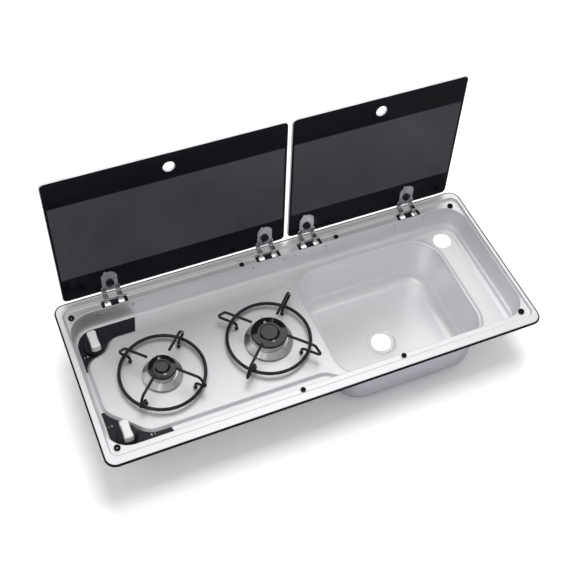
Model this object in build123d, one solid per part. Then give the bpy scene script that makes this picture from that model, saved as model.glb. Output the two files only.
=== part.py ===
from build123d import *

import os
from dataclasses import dataclass
from math import radians, tan

# A worktop unit pressed from one steel sheet: a gas hob with two burners on the left, a sink bowl with a
# draining ledge on the right, and two glass lids hinged along the back. All sizes are in millimetres.
# Frame: the origin is the middle of the unit on the worktop's top face, x to the right, y to the back, z up.
# The lids and all that rides on them are drawn closed and then turned to their open rest pose.

# ---------------------------------------------------------------- rim, seal and worktop
UNIT_WIDTH = 900.0
UNIT_DEPTH = 370.0
RIM_CORNER_R = 22.0
SHEET = 1.0
SEAL_HEIGHT = 4.0
RIM_SETBACK = 3.0
SIDE_OVERLAP = 7.0
FRONT_OVERLAP = 8.0
CUTOUT_WIDTH = UNIT_WIDTH - 2 * SIDE_OVERLAP
CUTOUT_DEPTH = UNIT_DEPTH - 2 * FRONT_OVERLAP
CUTOUT_CORNER_R = 18.0
SEAL_TO_CUTOUT = 1.0

# ---------------------------------------------------------------- lid recess and tub
RIM_LEFT_LAND = 15.0
RIM_RIGHT_LAND = 10.0
RIM_FRONT_LAND = 20.5
RIM_REAR_LAND = 17.0
RECESS_LEFT = UNIT_WIDTH / 2 - RIM_LEFT_LAND
RECESS_RIGHT = UNIT_WIDTH / 2 - RIM_RIGHT_LAND
RECESS_FRONT = UNIT_DEPTH / 2 - RIM_FRONT_LAND
RECESS_REAR = UNIT_DEPTH / 2 - RIM_REAR_LAND
RECESS_CORNER_R = 15.0
RECESS_DEPTH = 6.5
LEDGE_LEFT_LAND = 3.0
LEDGE_RIGHT_LAND = 3.5
LEDGE_FRONT_LAND = 14.0
LEDGE_REAR_LAND = 15.5
TUB_LEFT = RECESS_LEFT - LEDGE_LEFT_LAND
TUB_RIGHT = RECESS_RIGHT - LEDGE_RIGHT_LAND
TUB_FRONT = RECESS_FRONT - LEDGE_FRONT_LAND
TUB_REAR = RECESS_REAR - LEDGE_REAR_LAND
TUB_CORNER_R = 45.0
TUB_DEPTH = 55.5
TUB_FOOT_R = 8.0

# ---------------------------------------------------------------- raised hob plateau and sink surround
BAY_CORNER_R = 40.0
REAR_BAY_MOUTH = 32.5
REAR_BAY_STEP = 13.0
REAR_BAY_WIDTH = 40.0
REAR_BAY_LIP = 20.0
REAR_BAY_CORNER_RS = (24.0, 20.0, 26.0)
FRONT_BAY_LENGTH = 63.5
FRONT_BAY_WIDTH = 66.0
NECK_LEFT = 19.5
NECK_RIGHT = 10.5
NECK_CORNER_R = 30.0
FRONT_NECK_LEFT = 29.5
FRONT_NECK_RIGHT = 28.5
UNDER_WALL = 10.0
UNDER_WALL_R = 2.0
RAISED_HEIGHT = 6.0
RAISED_FLANK_DEG = 40.0
TROUGH_LEFT_WIDTH = 16.0
TROUGH_FRONT_WIDTH = 38.5
TROUGH_REAR_WIDTH = 45.5
SURROUND_REAR_GAP = 18.5
SURROUND_RIGHT_GAP = 16.5
PLATEAU_LEFT = TUB_LEFT - TROUGH_LEFT_WIDTH
PLATEAU_FRONT = TUB_FRONT - TROUGH_FRONT_WIDTH
PLATEAU_REAR = TUB_REAR - TROUGH_REAR_WIDTH
SURROUND_REAR = TUB_REAR - SURROUND_REAR_GAP
SURROUND_RIGHT = TUB_RIGHT - SURROUND_RIGHT_GAP
SURROUND_CORNER_R = 34.0
DRAINER_DEPTH = 2.0
DRAINER_BEAD = 8.5
DRAINER_TIP = 26.0

# ---------------------------------------------------------------- sink bowl
HOB_WIDTH = 469.5
BOWL_RIGHT_LAND = 78.0
BOWL_REAR_LAND = 11.5
BOWL_LEFT_X = HOB_WIDTH - TUB_LEFT
BOWL_RIGHT_X = TUB_RIGHT - BOWL_RIGHT_LAND
BOWL_REAR_Y = SURROUND_REAR - BOWL_REAR_LAND
BOWL_FRONT_INSET = 2.5
BOWL_CORNER_R = 62.0
BOWL_DEPTH = 168.5
BOWL_TAPER_DEG = 2.0
BOWL_FOOT_R = 28.0
BOWL_FLANGE = 7.0
DRAIN_FROM_BOWL_RIGHT = 166.5
DRAIN_FROM_BOWL_REAR = 146.5
DRAIN_X = BOWL_RIGHT_X - DRAIN_FROM_BOWL_RIGHT
DRAIN_Y = BOWL_REAR_Y - DRAIN_FROM_BOWL_REAR
DRAIN_R = 21.0
DRAIN_RECESS_R = 30.0
DRAIN_RECESS_DEPTH = 2.5
TAP_HOLE_FROM_BOWL = 25.5
TAP_HOLE_FROM_BOWL_REAR = 21.5
TAP_HOLE_X = BOWL_RIGHT_X + TAP_HOLE_FROM_BOWL
TAP_HOLE_Y = BOWL_REAR_Y - TAP_HOLE_FROM_BOWL_REAR
TAP_HOLE_R = 19.5

# ---------------------------------------------------------------- ledge fittings
BUSH_FROM_RIM_END = 29.0
BUSH_OVER_REAR_WALL = 1.5
BUSH_OVER_FRONT_WALL = 3.0
BUSH_HALF_X = UNIT_WIDTH / 2 - BUSH_FROM_RIM_END
BUSH_REAR_Y = TUB_REAR - BUSH_OVER_REAR_WALL
BUSH_FRONT_Y = BUSH_OVER_FRONT_WALL - TUB_FRONT
BUSH_R = 6.0
BUSH_LIP_R = 5.0
BUSH_NECK_R = 4.0
BUSH_LIP = 2.0
SCREW_HOLE_R = 2.25
BUFFER_LEFT_OF_BOWL = 100.0
BUFFER_RIGHT_OF_BOWL = 113.0
BUFFER_LEFT_X = BOWL_LEFT_X - BUFFER_LEFT_OF_BOWL
BUFFER_RIGHT_X = BOWL_LEFT_X + BUFFER_RIGHT_OF_BOWL
BUFFER_INSET = 6.0
BUFFER_R = 5.0
BUFFER_STEM_R = 2.5
BUFFER_BARB_R = 3.6

# ---------------------------------------------------------------- glass lids and their hinges
GLASS = 5.0
LID_GAP_TO_BUFFER = 0.3
BUFFER_HEIGHT = 3.7
LID_REAR_GAP = 16.5
LID_FRONT_GAP = 4.2
LID_LEFT_GAP = 9.0
LID_RIGHT_GAP = 17.5
LID_OVER_BOWL = 3.5
LID_SPLIT = 8.5
LID_REAR_Y = RECESS_REAR - LID_REAR_GAP
LID_DEPTH = LID_REAR_Y + RECESS_FRONT - LID_FRONT_GAP
LID_CORNER_R = 10.0
LEFT_LID_X = (LID_LEFT_GAP - RECESS_LEFT, BOWL_LEFT_X + LID_OVER_BOWL)
RIGHT_LID_X = (LEFT_LID_X[1] + LID_SPLIT, RECESS_RIGHT - LID_RIGHT_GAP)
LEFT_HINGE_INSETS = (95.0, 44.5)
RIGHT_HINGE_INSETS = (41.0, 99.5)
LEFT_HINGE_XS = (LEFT_LID_X[0] + LEFT_HINGE_INSETS[0], LEFT_LID_X[1] - LEFT_HINGE_INSETS[1])
RIGHT_HINGE_XS = (RIGHT_LID_X[0] + RIGHT_HINGE_INSETS[0], RIGHT_LID_X[1] - RIGHT_HINGE_INSETS[1])
FINGER_HOLE_R = 11.0
FINGER_HOLE_FROM_EDGE = 33.0
OPEN_DEG = 94.5
PIVOT_BEHIND_RECESS = 3.5
PIVOT_Y = RECESS_REAR + PIVOT_BEHIND_RECESS
PIVOT_DROP = 12.5
STRAP = 1.8
STRAP_GASKET = 0.5
TONGUE_WIDTH = 32.0
TONGUE_LENGTH = 53.0
TONGUE_TAB = 3.2
TONGUE_TAB_RISE = 6.0
TONGUE_TAB_X = -7.5
ARM_WIDTH = 10.0
ARM_SPREAD = 28.0
ARM_BACK = 15.0
ARM_DROP = 9.0
ARM_BEND_R = 3.0
PIN_R = 2.0
PIN_PLAY = 0.05
EYE_R = 4.0
STRAP_SCREW_FROM_EDGE = 22.0
STRAP_SCREW_HEAD_R = 8.5
STRAP_SCREW_HEAD = 4.0
STRAP_SCREW_R = 4.0
STRAP_NUT_R = 9.0
STRAP_NUT = 2.5
SLOT_PLATE_WIDTH = 53.0
SLOT_PLATE = 0.8
SLOT_SIDE_PLAY = 1.0
SLOT_FRONT_FROM_WALL = 0.7
SLOT_LENGTH = 11.0
PLATE_MARGIN = 0.7
BRACKET = 2.0
BRACKET_WIDTH = 86.0
BRACKET_TOP_DROP = 4.0
BRACKET_HEIGHT = 31.0
BRACKET_TIE = 8.0
CHEEK_GAP = 2.0
CHEEK_PAST_PIVOT = 4.5
CHEEK_HEIGHT = 12.0
PIN_HEAD_R = 3.2
PIN_HEAD = 1.2
RIVET_SPACING = 70.0
RIVET_DROP = 21.0
RIVET_R = 2.0
RIVET_HEAD_R = 3.6
RIVET_HEAD = 1.2

# ---------------------------------------------------------------- gas controls
KNOB_FROM_TUB_LEFT = 39.0
KNOB_FROM_TUB_REAR = 51.0
KNOB_FROM_TUB_FRONT = 43.0
KNOB_X = KNOB_FROM_TUB_LEFT - TUB_LEFT
REAR_KNOB_Y = TUB_REAR - KNOB_FROM_TUB_REAR
FRONT_KNOB_Y = KNOB_FROM_TUB_FRONT - TUB_FRONT
PANEL = 2.0
PANEL_PLAY = 0.3
PANEL_PAST_WALL = 8.0
REAR_PANEL_LENGTH = 100.0
REAR_PANEL_SLANT = 16.0
REAR_PANEL_TAIL = 49.5
FRONT_PANEL_LENGTH = 93.0
FRONT_PANEL_SLANT = 12.0
FRONT_PANEL_TAIL = 63.5
PANEL_REACH_Y = REAR_KNOB_Y - REAR_PANEL_TAIL
PANEL_FRONT_REACH_Y = FRONT_KNOB_Y + FRONT_PANEL_TAIL
NECK_R = 7.0
TAP_NUT_R = 10.0
TAP_NUT = 1.8
TAP_BLOCK = 24.0
TAP_BLOCK_HEIGHT = 40.0
PLUG_R = 6.0
PLUG_LENGTH = 28.0
PLUG_FROM_TOP = 8.0
RUNNING_PLAY = 0.05
SPINDLE_R = 4.0
SPINDLE_IN_PLUG = 16.0
PUSH_TRAVEL = 3.0
NECK_PLAY = 0.3
SKIRT_R = 20.5
SKIRT_TOP_R = 17.0
SKIRT_LIFT = 4.2
SKIRT_HEIGHT = 12.0
SKIRT_EDGE = 3.0
SKIRT_WALL = 3.0
SKIRT_ROOF = 5.0
BOSS_R = 7.0
BOSS_LIFT = 3.0
GRIP_WIDTH = 18.5
GRIP_LENGTH = 42.0
GRIP_HEIGHT = 15.5
MANIFOLD_R = 6.0
MANIFOLD_DROP = 20.0
INLET_R = 4.0
INLET_LENGTH = 45.0
INLET_COLLAR_R = 7.0
INLET_COLLAR_DROP = 10.0
FEED_R = 3.0
FEED_DROP = 12.0
FEED_BEND_R = 9.0

# ---------------------------------------------------------------- burners
BURNER_FORWARD = 4.5
BURNER_Y = (PLATEAU_REAR - PLATEAU_FRONT) / 2 - BURNER_FORWARD
SMALL_BURNER_FROM_TUB = 142.0
LARGE_BURNER_FROM_TUB = 363.0
SMALL_BURNER_X = SMALL_BURNER_FROM_TUB - TUB_LEFT
LARGE_BURNER_X = LARGE_BURNER_FROM_TUB - TUB_LEFT
HEAD_WALL = 4.0
SPIGOT = 2.0
SPIGOT_DROP = 10.0
CUP = 1.5
CUP_DEPTH = 22.0
CUP_FLANGE = 8.0
CUP_PLAY = 0.4
JET_R = 5.0
JET_HEX_R = 7.0
JET_BORE_R = 0.8
JET_ABOVE_FLOOR = 5.0
JET_BELOW_FLOOR = 6.0
CAP_CHAMFER = 2.0
CAP_DISH = 1.2
CAP_SPIGOT = 3.0
CAP_SCREW_R = 2.0
CAP_SCREW_HEAD_R = 3.4
CAP_SCREW_HEAD = 2.2
PROBE_R = 1.5
PROBE_FROM_CAP = 3.5
PROBE_TOP_BELOW_CAP = 4.0
PROBE_BELOW_CUP = 14.0
COLLAR_GAP = 3.5
COLLAR_EDGE = 2.0
COLLAR_OVERHANG = 2.5

# ---------------------------------------------------------------- pan supports
RING_WIRE_R = 3.4
FINGER_WIRE_R = 2.8
FOOT_R = 4.0
RING_R = 83.0
FOOT_CIRCLE_R = 69.8
LEG_HEIGHT = 18.0
SUPPORT_HEIGHT = 46.0
FINGER_TOP_BEND_R = 9.0
FINGER_TOE_BEND_R = 5.0
FINGER_HEEL_BEND_R = 7.0

# ---------------------------------------------------------------- levels that follow
RIM_TOP = SEAL_HEIGHT + SHEET
LEDGE = RIM_TOP - RECESS_DEPTH
TROUGH = RIM_TOP - TUB_DEPTH
FOOT_TOP = TROUGH + TUB_FOOT_R
PLATEAU = TROUGH + RAISED_HEIGHT
BOWL_FLOOR = RIM_TOP - BOWL_DEPTH
LID_UNDERSIDE = LEDGE + BUFFER_HEIGHT + LID_GAP_TO_BUFFER
PIVOT_Z = RIM_TOP - PIVOT_DROP
STRAP_MID_Z = LID_UNDERSIDE - STRAP_GASKET - STRAP / 2
PANEL_TOP = TROUGH + PANEL
FLANK = RAISED_HEIGHT * tan(radians(RAISED_FLANK_DEG))
FAR = 400.0


@dataclass(frozen=True)
class Outline:
    """A rectangle in plan with round corners."""

    left: float
    right: float
    front: float
    rear: float
    corner: float

    def grown(self, by):
        """The same outline moved out by a distance all round."""
        return Outline(self.left - by, self.right + by, self.front - by, self.rear + by, self.corner + by)

    def face(self):
        """The outline as a flat face at z = 0."""
        centre = Pos((self.left + self.right) / 2, (self.front + self.rear) / 2)
        return centre * RectangleRounded(self.right - self.left, self.rear - self.front, self.corner)

    def prism(self, low, high):
        """The outline as a block between two levels."""
        return extrude(Pos(0, 0, low) * self.face(), high - low)


@dataclass(frozen=True)
class Burner:
    """One burner: where it stands, its radii, and its heights over the plateau."""

    x: float
    opening_r: float
    base_r: float
    shoulder_r: float
    shoulder_height: float
    port_r: float
    cap_r: float
    cap_top: float
    cap_thickness: float
    dish_r: float
    screw_offset: float

    @property
    def cap_bottom(self):
        return self.cap_top - self.cap_thickness

    @property
    def spigot_r(self):
        return self.opening_r - 0.5


@dataclass(frozen=True)
class Support:
    """One pan support: radii of the fingers' inner end, upper bend and outer toe from its middle."""

    x: float
    inner_r: float
    bend_r: float
    toe_r: float


SMALL_BURNER = Burner(
    x=SMALL_BURNER_X,
    opening_r=33.0,
    base_r=39.5,
    shoulder_r=29.0,
    shoulder_height=13.0,
    port_r=26.5,
    cap_r=27.7,
    cap_top=31.0,
    cap_thickness=5.5,
    dish_r=14.0,
    screw_offset=18.6,
)
LARGE_BURNER = Burner(
    x=LARGE_BURNER_X,
    opening_r=42.0,
    base_r=48.5,
    shoulder_r=37.5,
    shoulder_height=14.0,
    port_r=34.5,
    cap_r=36.3,
    cap_top=33.0,
    cap_thickness=6.5,
    dish_r=19.0,
    screw_offset=23.5,
)
LEFT_SUPPORT = Support(x=SMALL_BURNER_X, inner_r=31.0, bend_r=79.0, toe_r=94.5)
RIGHT_SUPPORT = Support(x=LARGE_BURNER_X, inner_r=38.0, bend_r=95.5, toe_r=112.5)

RIM = Outline(-UNIT_WIDTH / 2, UNIT_WIDTH / 2, -UNIT_DEPTH / 2, UNIT_DEPTH / 2, RIM_CORNER_R)
CUTOUT = Outline(-CUTOUT_WIDTH / 2, CUTOUT_WIDTH / 2, -CUTOUT_DEPTH / 2, CUTOUT_DEPTH / 2, CUTOUT_CORNER_R)
RECESS = Outline(-RECESS_LEFT, RECESS_RIGHT, -RECESS_FRONT, RECESS_REAR, RECESS_CORNER_R)
TUB = Outline(-TUB_LEFT, TUB_RIGHT, -TUB_FRONT, TUB_REAR, TUB_CORNER_R)
BOWL = Outline(BOWL_LEFT_X, BOWL_RIGHT_X, BOWL_FRONT_INSET - TUB_FRONT, BOWL_REAR_Y, BOWL_CORNER_R)


def rod(x, y, radius, low, high):
    """An upright round bar."""
    return Pos(x, y, (low + high) / 2) * Cylinder(radius, high - low)


def bar_along_x(x_low, x_high, y, z, radius):
    """A round bar that lies along x."""
    return Pos((x_low + x_high) / 2, y, z) * Rot(0, 90, 0) * Cylinder(radius, x_high - x_low)


def bar_along_y(x, y_low, y_high, z, radius):
    """A round bar that lies along y."""
    return Pos(x, (y_low + y_high) / 2, z) * Rot(90, 0, 0) * Cylinder(radius, y_high - y_low)


def block(x_low, x_high, y_low, y_high, z_low, z_high):
    """A box given by its limits."""
    middle = Pos((x_low + x_high) / 2, (y_low + y_high) / 2, (z_low + z_high) / 2)
    return middle * Box(x_high - x_low, y_high - y_low, z_high - z_low)


def turned(points, x, y, z):
    """A round piece from its half profile of (radius, height) points, stood at x, y, z."""
    profile = make_face(Polyline(*[(r, 0, h) for r, h in points], close=True))
    return Pos(x, y, z) * revolve(profile, Axis.Z)


def tube_along(points, radii, wire_r):
    """A round wire or pipe along straight runs joined by arcs."""
    path = FilletPolyline(*points, radius=radii)
    start = Plane(origin=path @ 0, z_dir=path % 0)
    return sweep(start * Circle(wire_r), path=path)


def group(shapes):
    """Several separate solids as one node."""
    return Compound([solid for shape in shapes for solid in shape.solids()])


# ---------------------------------------------------------------- pressed tray
def raised_face():
    """The crest line of the raised part: it goes round both knobs and widens into the sink surround."""
    reach = TUB_FRONT + UNDER_WALL
    left, bowl, bay = -PLATEAU_LEFT, BOWL_LEFT_X, REAR_KNOB_Y - REAR_BAY_MOUTH
    corners = [
        ((left, bay), REAR_BAY_CORNER_RS[0]),
        ((left + REAR_BAY_WIDTH, bay + REAR_BAY_STEP), REAR_BAY_CORNER_RS[1]),
        ((left + REAR_BAY_WIDTH + REAR_BAY_LIP, PLATEAU_REAR), REAR_BAY_CORNER_RS[2]),
        ((bowl - NECK_LEFT, PLATEAU_REAR), NECK_CORNER_R),
        ((bowl + NECK_RIGHT, SURROUND_REAR), NECK_CORNER_R),
        ((SURROUND_RIGHT, SURROUND_REAR), SURROUND_CORNER_R),
        ((SURROUND_RIGHT, -reach), UNDER_WALL_R),
        ((bowl + FRONT_NECK_RIGHT, -reach), UNDER_WALL_R),
        ((bowl - FRONT_NECK_LEFT, -PLATEAU_FRONT), BAY_CORNER_R),
        ((left + FRONT_BAY_WIDTH, -PLATEAU_FRONT), BAY_CORNER_R),
        ((left, FRONT_KNOB_Y + FRONT_BAY_LENGTH), BAY_CORNER_R),
    ]
    points = [point for point, _ in corners]
    line = FilletPolyline(*points, radius=[radius for _, radius in corners], close=True)
    return make_face(line)


def drainer_face():
    """The dished draining ledge between the bowl's bead and the surround's bead."""
    inside = offset(raised_face(), -DRAINER_BEAD)
    beside_bowl = block(BOWL_RIGHT_X - DRAINER_TIP, SURROUND_RIGHT, -TUB_FRONT, SURROUND_REAR, -1, 1)
    strip = inside & beside_bowl.faces().sort_by(Axis.Z)[-1].moved(Location((0, 0, -1)))
    return strip - BOWL.grown(DRAINER_BEAD).face()


def raised_block(shrink, drop):
    """The raised part as a solid with sloping flanks, drawn in by shrink and lowered by drop."""
    crest = raised_face() if shrink == 0 else offset(raised_face(), -shrink)
    top = PLATEAU - drop
    depth = RAISED_HEIGHT + 4.0
    solid = extrude(Pos(0, 0, top) * crest, depth, dir=(0, 0, -1), taper=-RAISED_FLANK_DEG)
    dish = offset(drainer_face(), shrink) if shrink else drainer_face()
    return solid - extrude(Pos(0, 0, top - DRAINER_DEPTH) * dish, DRAINER_DEPTH + 1)


def foot_rounded(solid, radius):
    """A block with its bottom edges rounded."""
    return fillet(solid.edges().group_by(Axis.Z)[0], radius)


def hinge_xs():
    """The middle of every hinge along x."""
    return LEFT_HINGE_XS + RIGHT_HINGE_XS


def arm_xs(hinge_x):
    """The middle of a hinge's two arms along x."""
    return (hinge_x - ARM_SPREAD / 2, hinge_x + ARM_SPREAD / 2)


def hinge_slots(low, high):
    """The slots that the hinge arms pass through."""
    half = ARM_WIDTH / 2 + SLOT_SIDE_PLAY
    y_low = TUB_REAR + SHEET + SLOT_FRONT_FROM_WALL
    slots_x = [x for hinge_x in hinge_xs() for x in arm_xs(hinge_x)]
    return [block(x - half, x + half, y_low, y_low + SLOT_LENGTH, low, high) for x in slots_x]


def bush_places():
    """The four corner screws."""
    return [(x, y) for x in (-BUSH_HALF_X, BUSH_HALF_X) for y in (BUSH_REAR_Y, BUSH_FRONT_Y)]


def buffer_places():
    """The four rubber buffers on the ledge."""
    rear, front = TUB_REAR + BUFFER_INSET, -TUB_FRONT - BUFFER_INSET
    return [(x, y) for x in (BUFFER_LEFT_X, BUFFER_RIGHT_X) for y in (rear, front)]


def rivet_places():
    """The rivets of the hinge brackets, as x on the rear wall."""
    return [x + side * RIVET_SPACING / 2 for x in hinge_xs() for side in (-1, 1)]


def knob_ys():
    """The knobs' places along y, rear first."""
    return (REAR_KNOB_Y, FRONT_KNOB_Y)


def tray_rim():
    """The top of the pressed tray: its rim, the lid recess and the ledge, down to the ledge's underside."""
    rim = RIM.grown(-RIM_SETBACK).prism(RIM_TOP - SHEET, RIM_TOP)
    rim += RECESS.grown(SHEET).prism(LEDGE - SHEET, RIM_TOP)
    rim -= RECESS.prism(LEDGE, RIM_TOP + 1) + TUB.prism(LEDGE - 2, LEDGE + 1)
    for x, y in bush_places():
        rim -= rod(x, y, BUSH_NECK_R, LEDGE - 2, LEDGE + 1)
    for x, y in buffer_places():
        rim -= rod(x, y, BUFFER_STEM_R, LEDGE - 2, LEDGE + 1)
    for slot in hinge_slots(LEDGE - 2, LEDGE + 1):
        rim -= slot
    return rim


def wall_ring():
    """The tray's upright wall all round, from the ledge down to where the foot starts to round."""
    return TUB.grown(SHEET).prism(FOOT_TOP, LEDGE - SHEET) - TUB.prism(FOOT_TOP - 1, LEDGE)


def wall_corner_blocks():
    """The four blocks that the wall's round corners lie in."""
    out = 2 * SHEET
    xs = ((-TUB_LEFT - out, TUB_CORNER_R - TUB_LEFT), (TUB_RIGHT - TUB_CORNER_R, TUB_RIGHT + out))
    ys = ((-TUB_FRONT - out, TUB_CORNER_R - TUB_FRONT), (TUB_REAR - TUB_CORNER_R, TUB_REAR + out))
    return [block(*x, *y, FOOT_TOP - 1, LEDGE) for x in xs for y in ys]


def tray_wall():
    """The straight stretches of the tray's upright wall, with the rivet holes at the back."""
    wall = wall_ring()
    for corner in wall_corner_blocks():
        wall -= corner
    for x in rivet_places():
        wall -= bar_along_y(x, TUB_REAR - 1, TUB_REAR + 2, RIM_TOP - RIVET_DROP, RIVET_R)
    return wall


def wall_corners():
    """The round corners of the tray's upright wall."""
    ring = wall_ring()
    return Compound([ring & corner for corner in wall_corner_blocks()])


def hob_plate():
    """The tray's floor: the rounded foot, the trough, the raised hob and sink surround, and their holes."""
    plate = foot_rounded(TUB.grown(SHEET).prism(TROUGH - SHEET, LEDGE), TUB_FOOT_R + SHEET)
    plate -= raised_block(SHEET, SHEET)
    plate -= foot_rounded(TUB.prism(TROUGH, RIM_TOP), TUB_FOOT_R) - raised_block(0, 0)
    plate -= TUB.grown(2 * SHEET).prism(FOOT_TOP, RIM_TOP)
    plate -= BOWL.prism(PLATEAU - 2 * SHEET, PLATEAU + 1)
    plate -= rod(TAP_HOLE_X, TAP_HOLE_Y, TAP_HOLE_R, PLATEAU - 10, PLATEAU + 1)
    for burner in (SMALL_BURNER, LARGE_BURNER):
        plate -= rod(burner.x, BURNER_Y, burner.opening_r, PLATEAU - 2, PLATEAU + 1)
    for y in knob_ys():
        plate -= rod(KNOB_X, y, NECK_R, TROUGH - 2, TROUGH + 1)
    return plate


def sink_bowl():
    """The drawn bowl under the tray, with its flange and bare drain hole."""
    top = PLATEAU - SHEET
    recess_floor = BOWL_FLOOR - DRAIN_RECESS_DEPTH

    def drawn(outline, floor, foot_r):
        start = Pos(0, 0, top) * outline.face()
        walls = extrude(start, top - floor, dir=(0, 0, -1), taper=BOWL_TAPER_DEG)
        return fillet(walls.edges().group_by(Axis.Z)[0], foot_r)

    bowl = drawn(BOWL.grown(SHEET), BOWL_FLOOR - SHEET, BOWL_FOOT_R + SHEET)
    bowl += BOWL.grown(BOWL_FLANGE).prism(top - SHEET, top) & TUB.grown(SHEET).prism(top - SHEET, top)
    bowl += rod(DRAIN_X, DRAIN_Y, DRAIN_RECESS_R + SHEET, recess_floor - SHEET, BOWL_FLOOR)
    bowl -= drawn(BOWL, BOWL_FLOOR, BOWL_FOOT_R)
    bowl -= rod(DRAIN_X, DRAIN_Y, DRAIN_RECESS_R, recess_floor, BOWL_FLOOR + 1)
    return bowl - rod(DRAIN_X, DRAIN_Y, DRAIN_R, recess_floor - 2, BOWL_FLOOR)


def rim_seal():
    """The rubber seal between the rim and the worktop."""
    return RIM.prism(0, SEAL_HEIGHT) - CUTOUT.grown(SEAL_TO_CUTOUT).prism(-1, SEAL_HEIGHT + 1)


def corner_bush(x, y):
    """A rubber bush for one corner screw; its top carries the closed lid."""
    bush = rod(x, y, BUSH_R, LEDGE, LEDGE + BUFFER_HEIGHT)
    bush += rod(x, y, BUSH_NECK_R, LEDGE - SHEET, LEDGE)
    bush += rod(x, y, BUSH_LIP_R, LEDGE - SHEET - BUSH_LIP, LEDGE - SHEET)
    return bush - rod(x, y, SCREW_HOLE_R, LEDGE - 10, LEDGE + 10)


def ledge_buffer(x, y):
    """A push-in rubber buffer on the ledge."""
    buffer = rod(x, y, BUFFER_R, LEDGE, LEDGE + BUFFER_HEIGHT)
    buffer += rod(x, y, BUFFER_STEM_R, LEDGE - SHEET, LEDGE)
    return buffer + rod(x, y, BUFFER_BARB_R, LEDGE - SHEET - 2, LEDGE - SHEET)


# ---------------------------------------------------------------- hinges, fixed half
def slot_plates():
    """A thin plate on the ledge at each hinge, with the two slots."""
    y_low, y_high = TUB_REAR + PLATE_MARGIN, RECESS_REAR - PLATE_MARGIN
    plates = []
    for x in hinge_xs():
        half = SLOT_PLATE_WIDTH / 2
        plate = block(x - half, x + half, y_low, y_high, LEDGE, LEDGE + SLOT_PLATE)
        for slot in hinge_slots(LEDGE - 1, LEDGE + 2):
            plate -= slot
        plates.append(plate)
    return group(plates)


def cheek_inner():
    """How far a bracket's cheek stands from the middle of its hinge."""
    return ARM_SPREAD / 2 + ARM_WIDTH / 2 + CHEEK_GAP


def hinge_bracket(x):
    """A folded bracket behind the rear wall: a plate with a window for the arms, and two cheeks."""
    wall = TUB_REAR + SHEET
    top = LEDGE - SHEET - BRACKET_TOP_DROP + 2
    bottom = top - BRACKET_HEIGHT
    inner, outer = cheek_inner(), cheek_inner() + BRACKET
    bracket = block(x - BRACKET_WIDTH / 2, x + BRACKET_WIDTH / 2, wall, wall + BRACKET, bottom, top)
    bracket -= block(x - inner, x + inner, wall - 1, wall + 3, bottom + BRACKET_TIE, top + 1)
    for side in (-1, 1):
        near, far = sorted((x + side * inner, x + side * outer))
        rear = PIVOT_Y + CHEEK_PAST_PIVOT
        bracket += block(near, far, wall, rear, top - CHEEK_HEIGHT, top)
    bracket -= bar_along_x(x - outer - 1, x + outer + 1, PIVOT_Y, PIVOT_Z, PIN_R)
    for side in (-1, 1):
        rivet_x = x + side * RIVET_SPACING / 2
        bracket -= bar_along_y(rivet_x, wall - 1, wall + 3, RIM_TOP - RIVET_DROP, RIVET_R)
    return bracket


def hinge_pin(x):
    """The pivot pin of one hinge, with a head at each end outside the cheeks."""
    outer = cheek_inner() + BRACKET
    pin = bar_along_x(x - outer, x + outer, PIVOT_Y, PIVOT_Z, PIN_R)
    for side in (-1, 1):
        low, high = sorted((x + side * outer, x + side * (outer + PIN_HEAD)))
        pin += bar_along_x(low, high, PIVOT_Y, PIVOT_Z, PIN_HEAD_R)
    return pin


def hinge_rivet(x):
    """A rivet through the rear wall and the bracket."""
    z = RIM_TOP - RIVET_DROP
    back = TUB_REAR + SHEET + BRACKET
    rivet = bar_along_y(x, TUB_REAR, back, z, RIVET_R)
    rivet += bar_along_y(x, TUB_REAR - RIVET_HEAD, TUB_REAR, z, RIVET_HEAD_R)
    return rivet + bar_along_y(x, back, back + RIVET_HEAD, z, RIVET_HEAD_R)


# ---------------------------------------------------------------- glass lids, drawn closed
def opened(shape):
    """Turns a piece of a lid from closed to the open rest pose."""
    return shape.rotate(Axis((0, PIVOT_Y, PIVOT_Z), (1, 0, 0)), -OPEN_DEG)


def strap_screw_y():
    return LID_REAR_Y - STRAP_SCREW_FROM_EDGE


def lid_glass(lid_x, lid_hinges):
    """A glass lid with its finger hole and a hole for each hinge screw."""
    outline = Outline(lid_x[0], lid_x[1], LID_REAR_Y - LID_DEPTH, LID_REAR_Y, LID_CORNER_R)
    glass = outline.prism(LID_UNDERSIDE, LID_UNDERSIDE + GLASS)
    finger_y = LID_REAR_Y - LID_DEPTH + FINGER_HOLE_FROM_EDGE
    glass -= rod(sum(lid_x) / 2, finger_y, FINGER_HOLE_R, LID_UNDERSIDE - 1, LID_UNDERSIDE + GLASS + 1)
    for x in lid_hinges:
        glass -= rod(x, strap_screw_y(), STRAP_SCREW_R, LID_UNDERSIDE - 1, LID_UNDERSIDE + GLASS + 1)
    return opened(glass)


def tongue_face(x):
    """The plan of the tongue: a strip with a round front end."""
    front, rear = LID_REAR_Y - TONGUE_LENGTH, LID_REAR_Y
    half = TONGUE_WIDTH / 2
    strip = Pos(x, (front + half + rear) / 2) * Rectangle(TONGUE_WIDTH, rear - front - half)
    return strip + Pos(x, front + half) * Circle(half)


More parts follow.
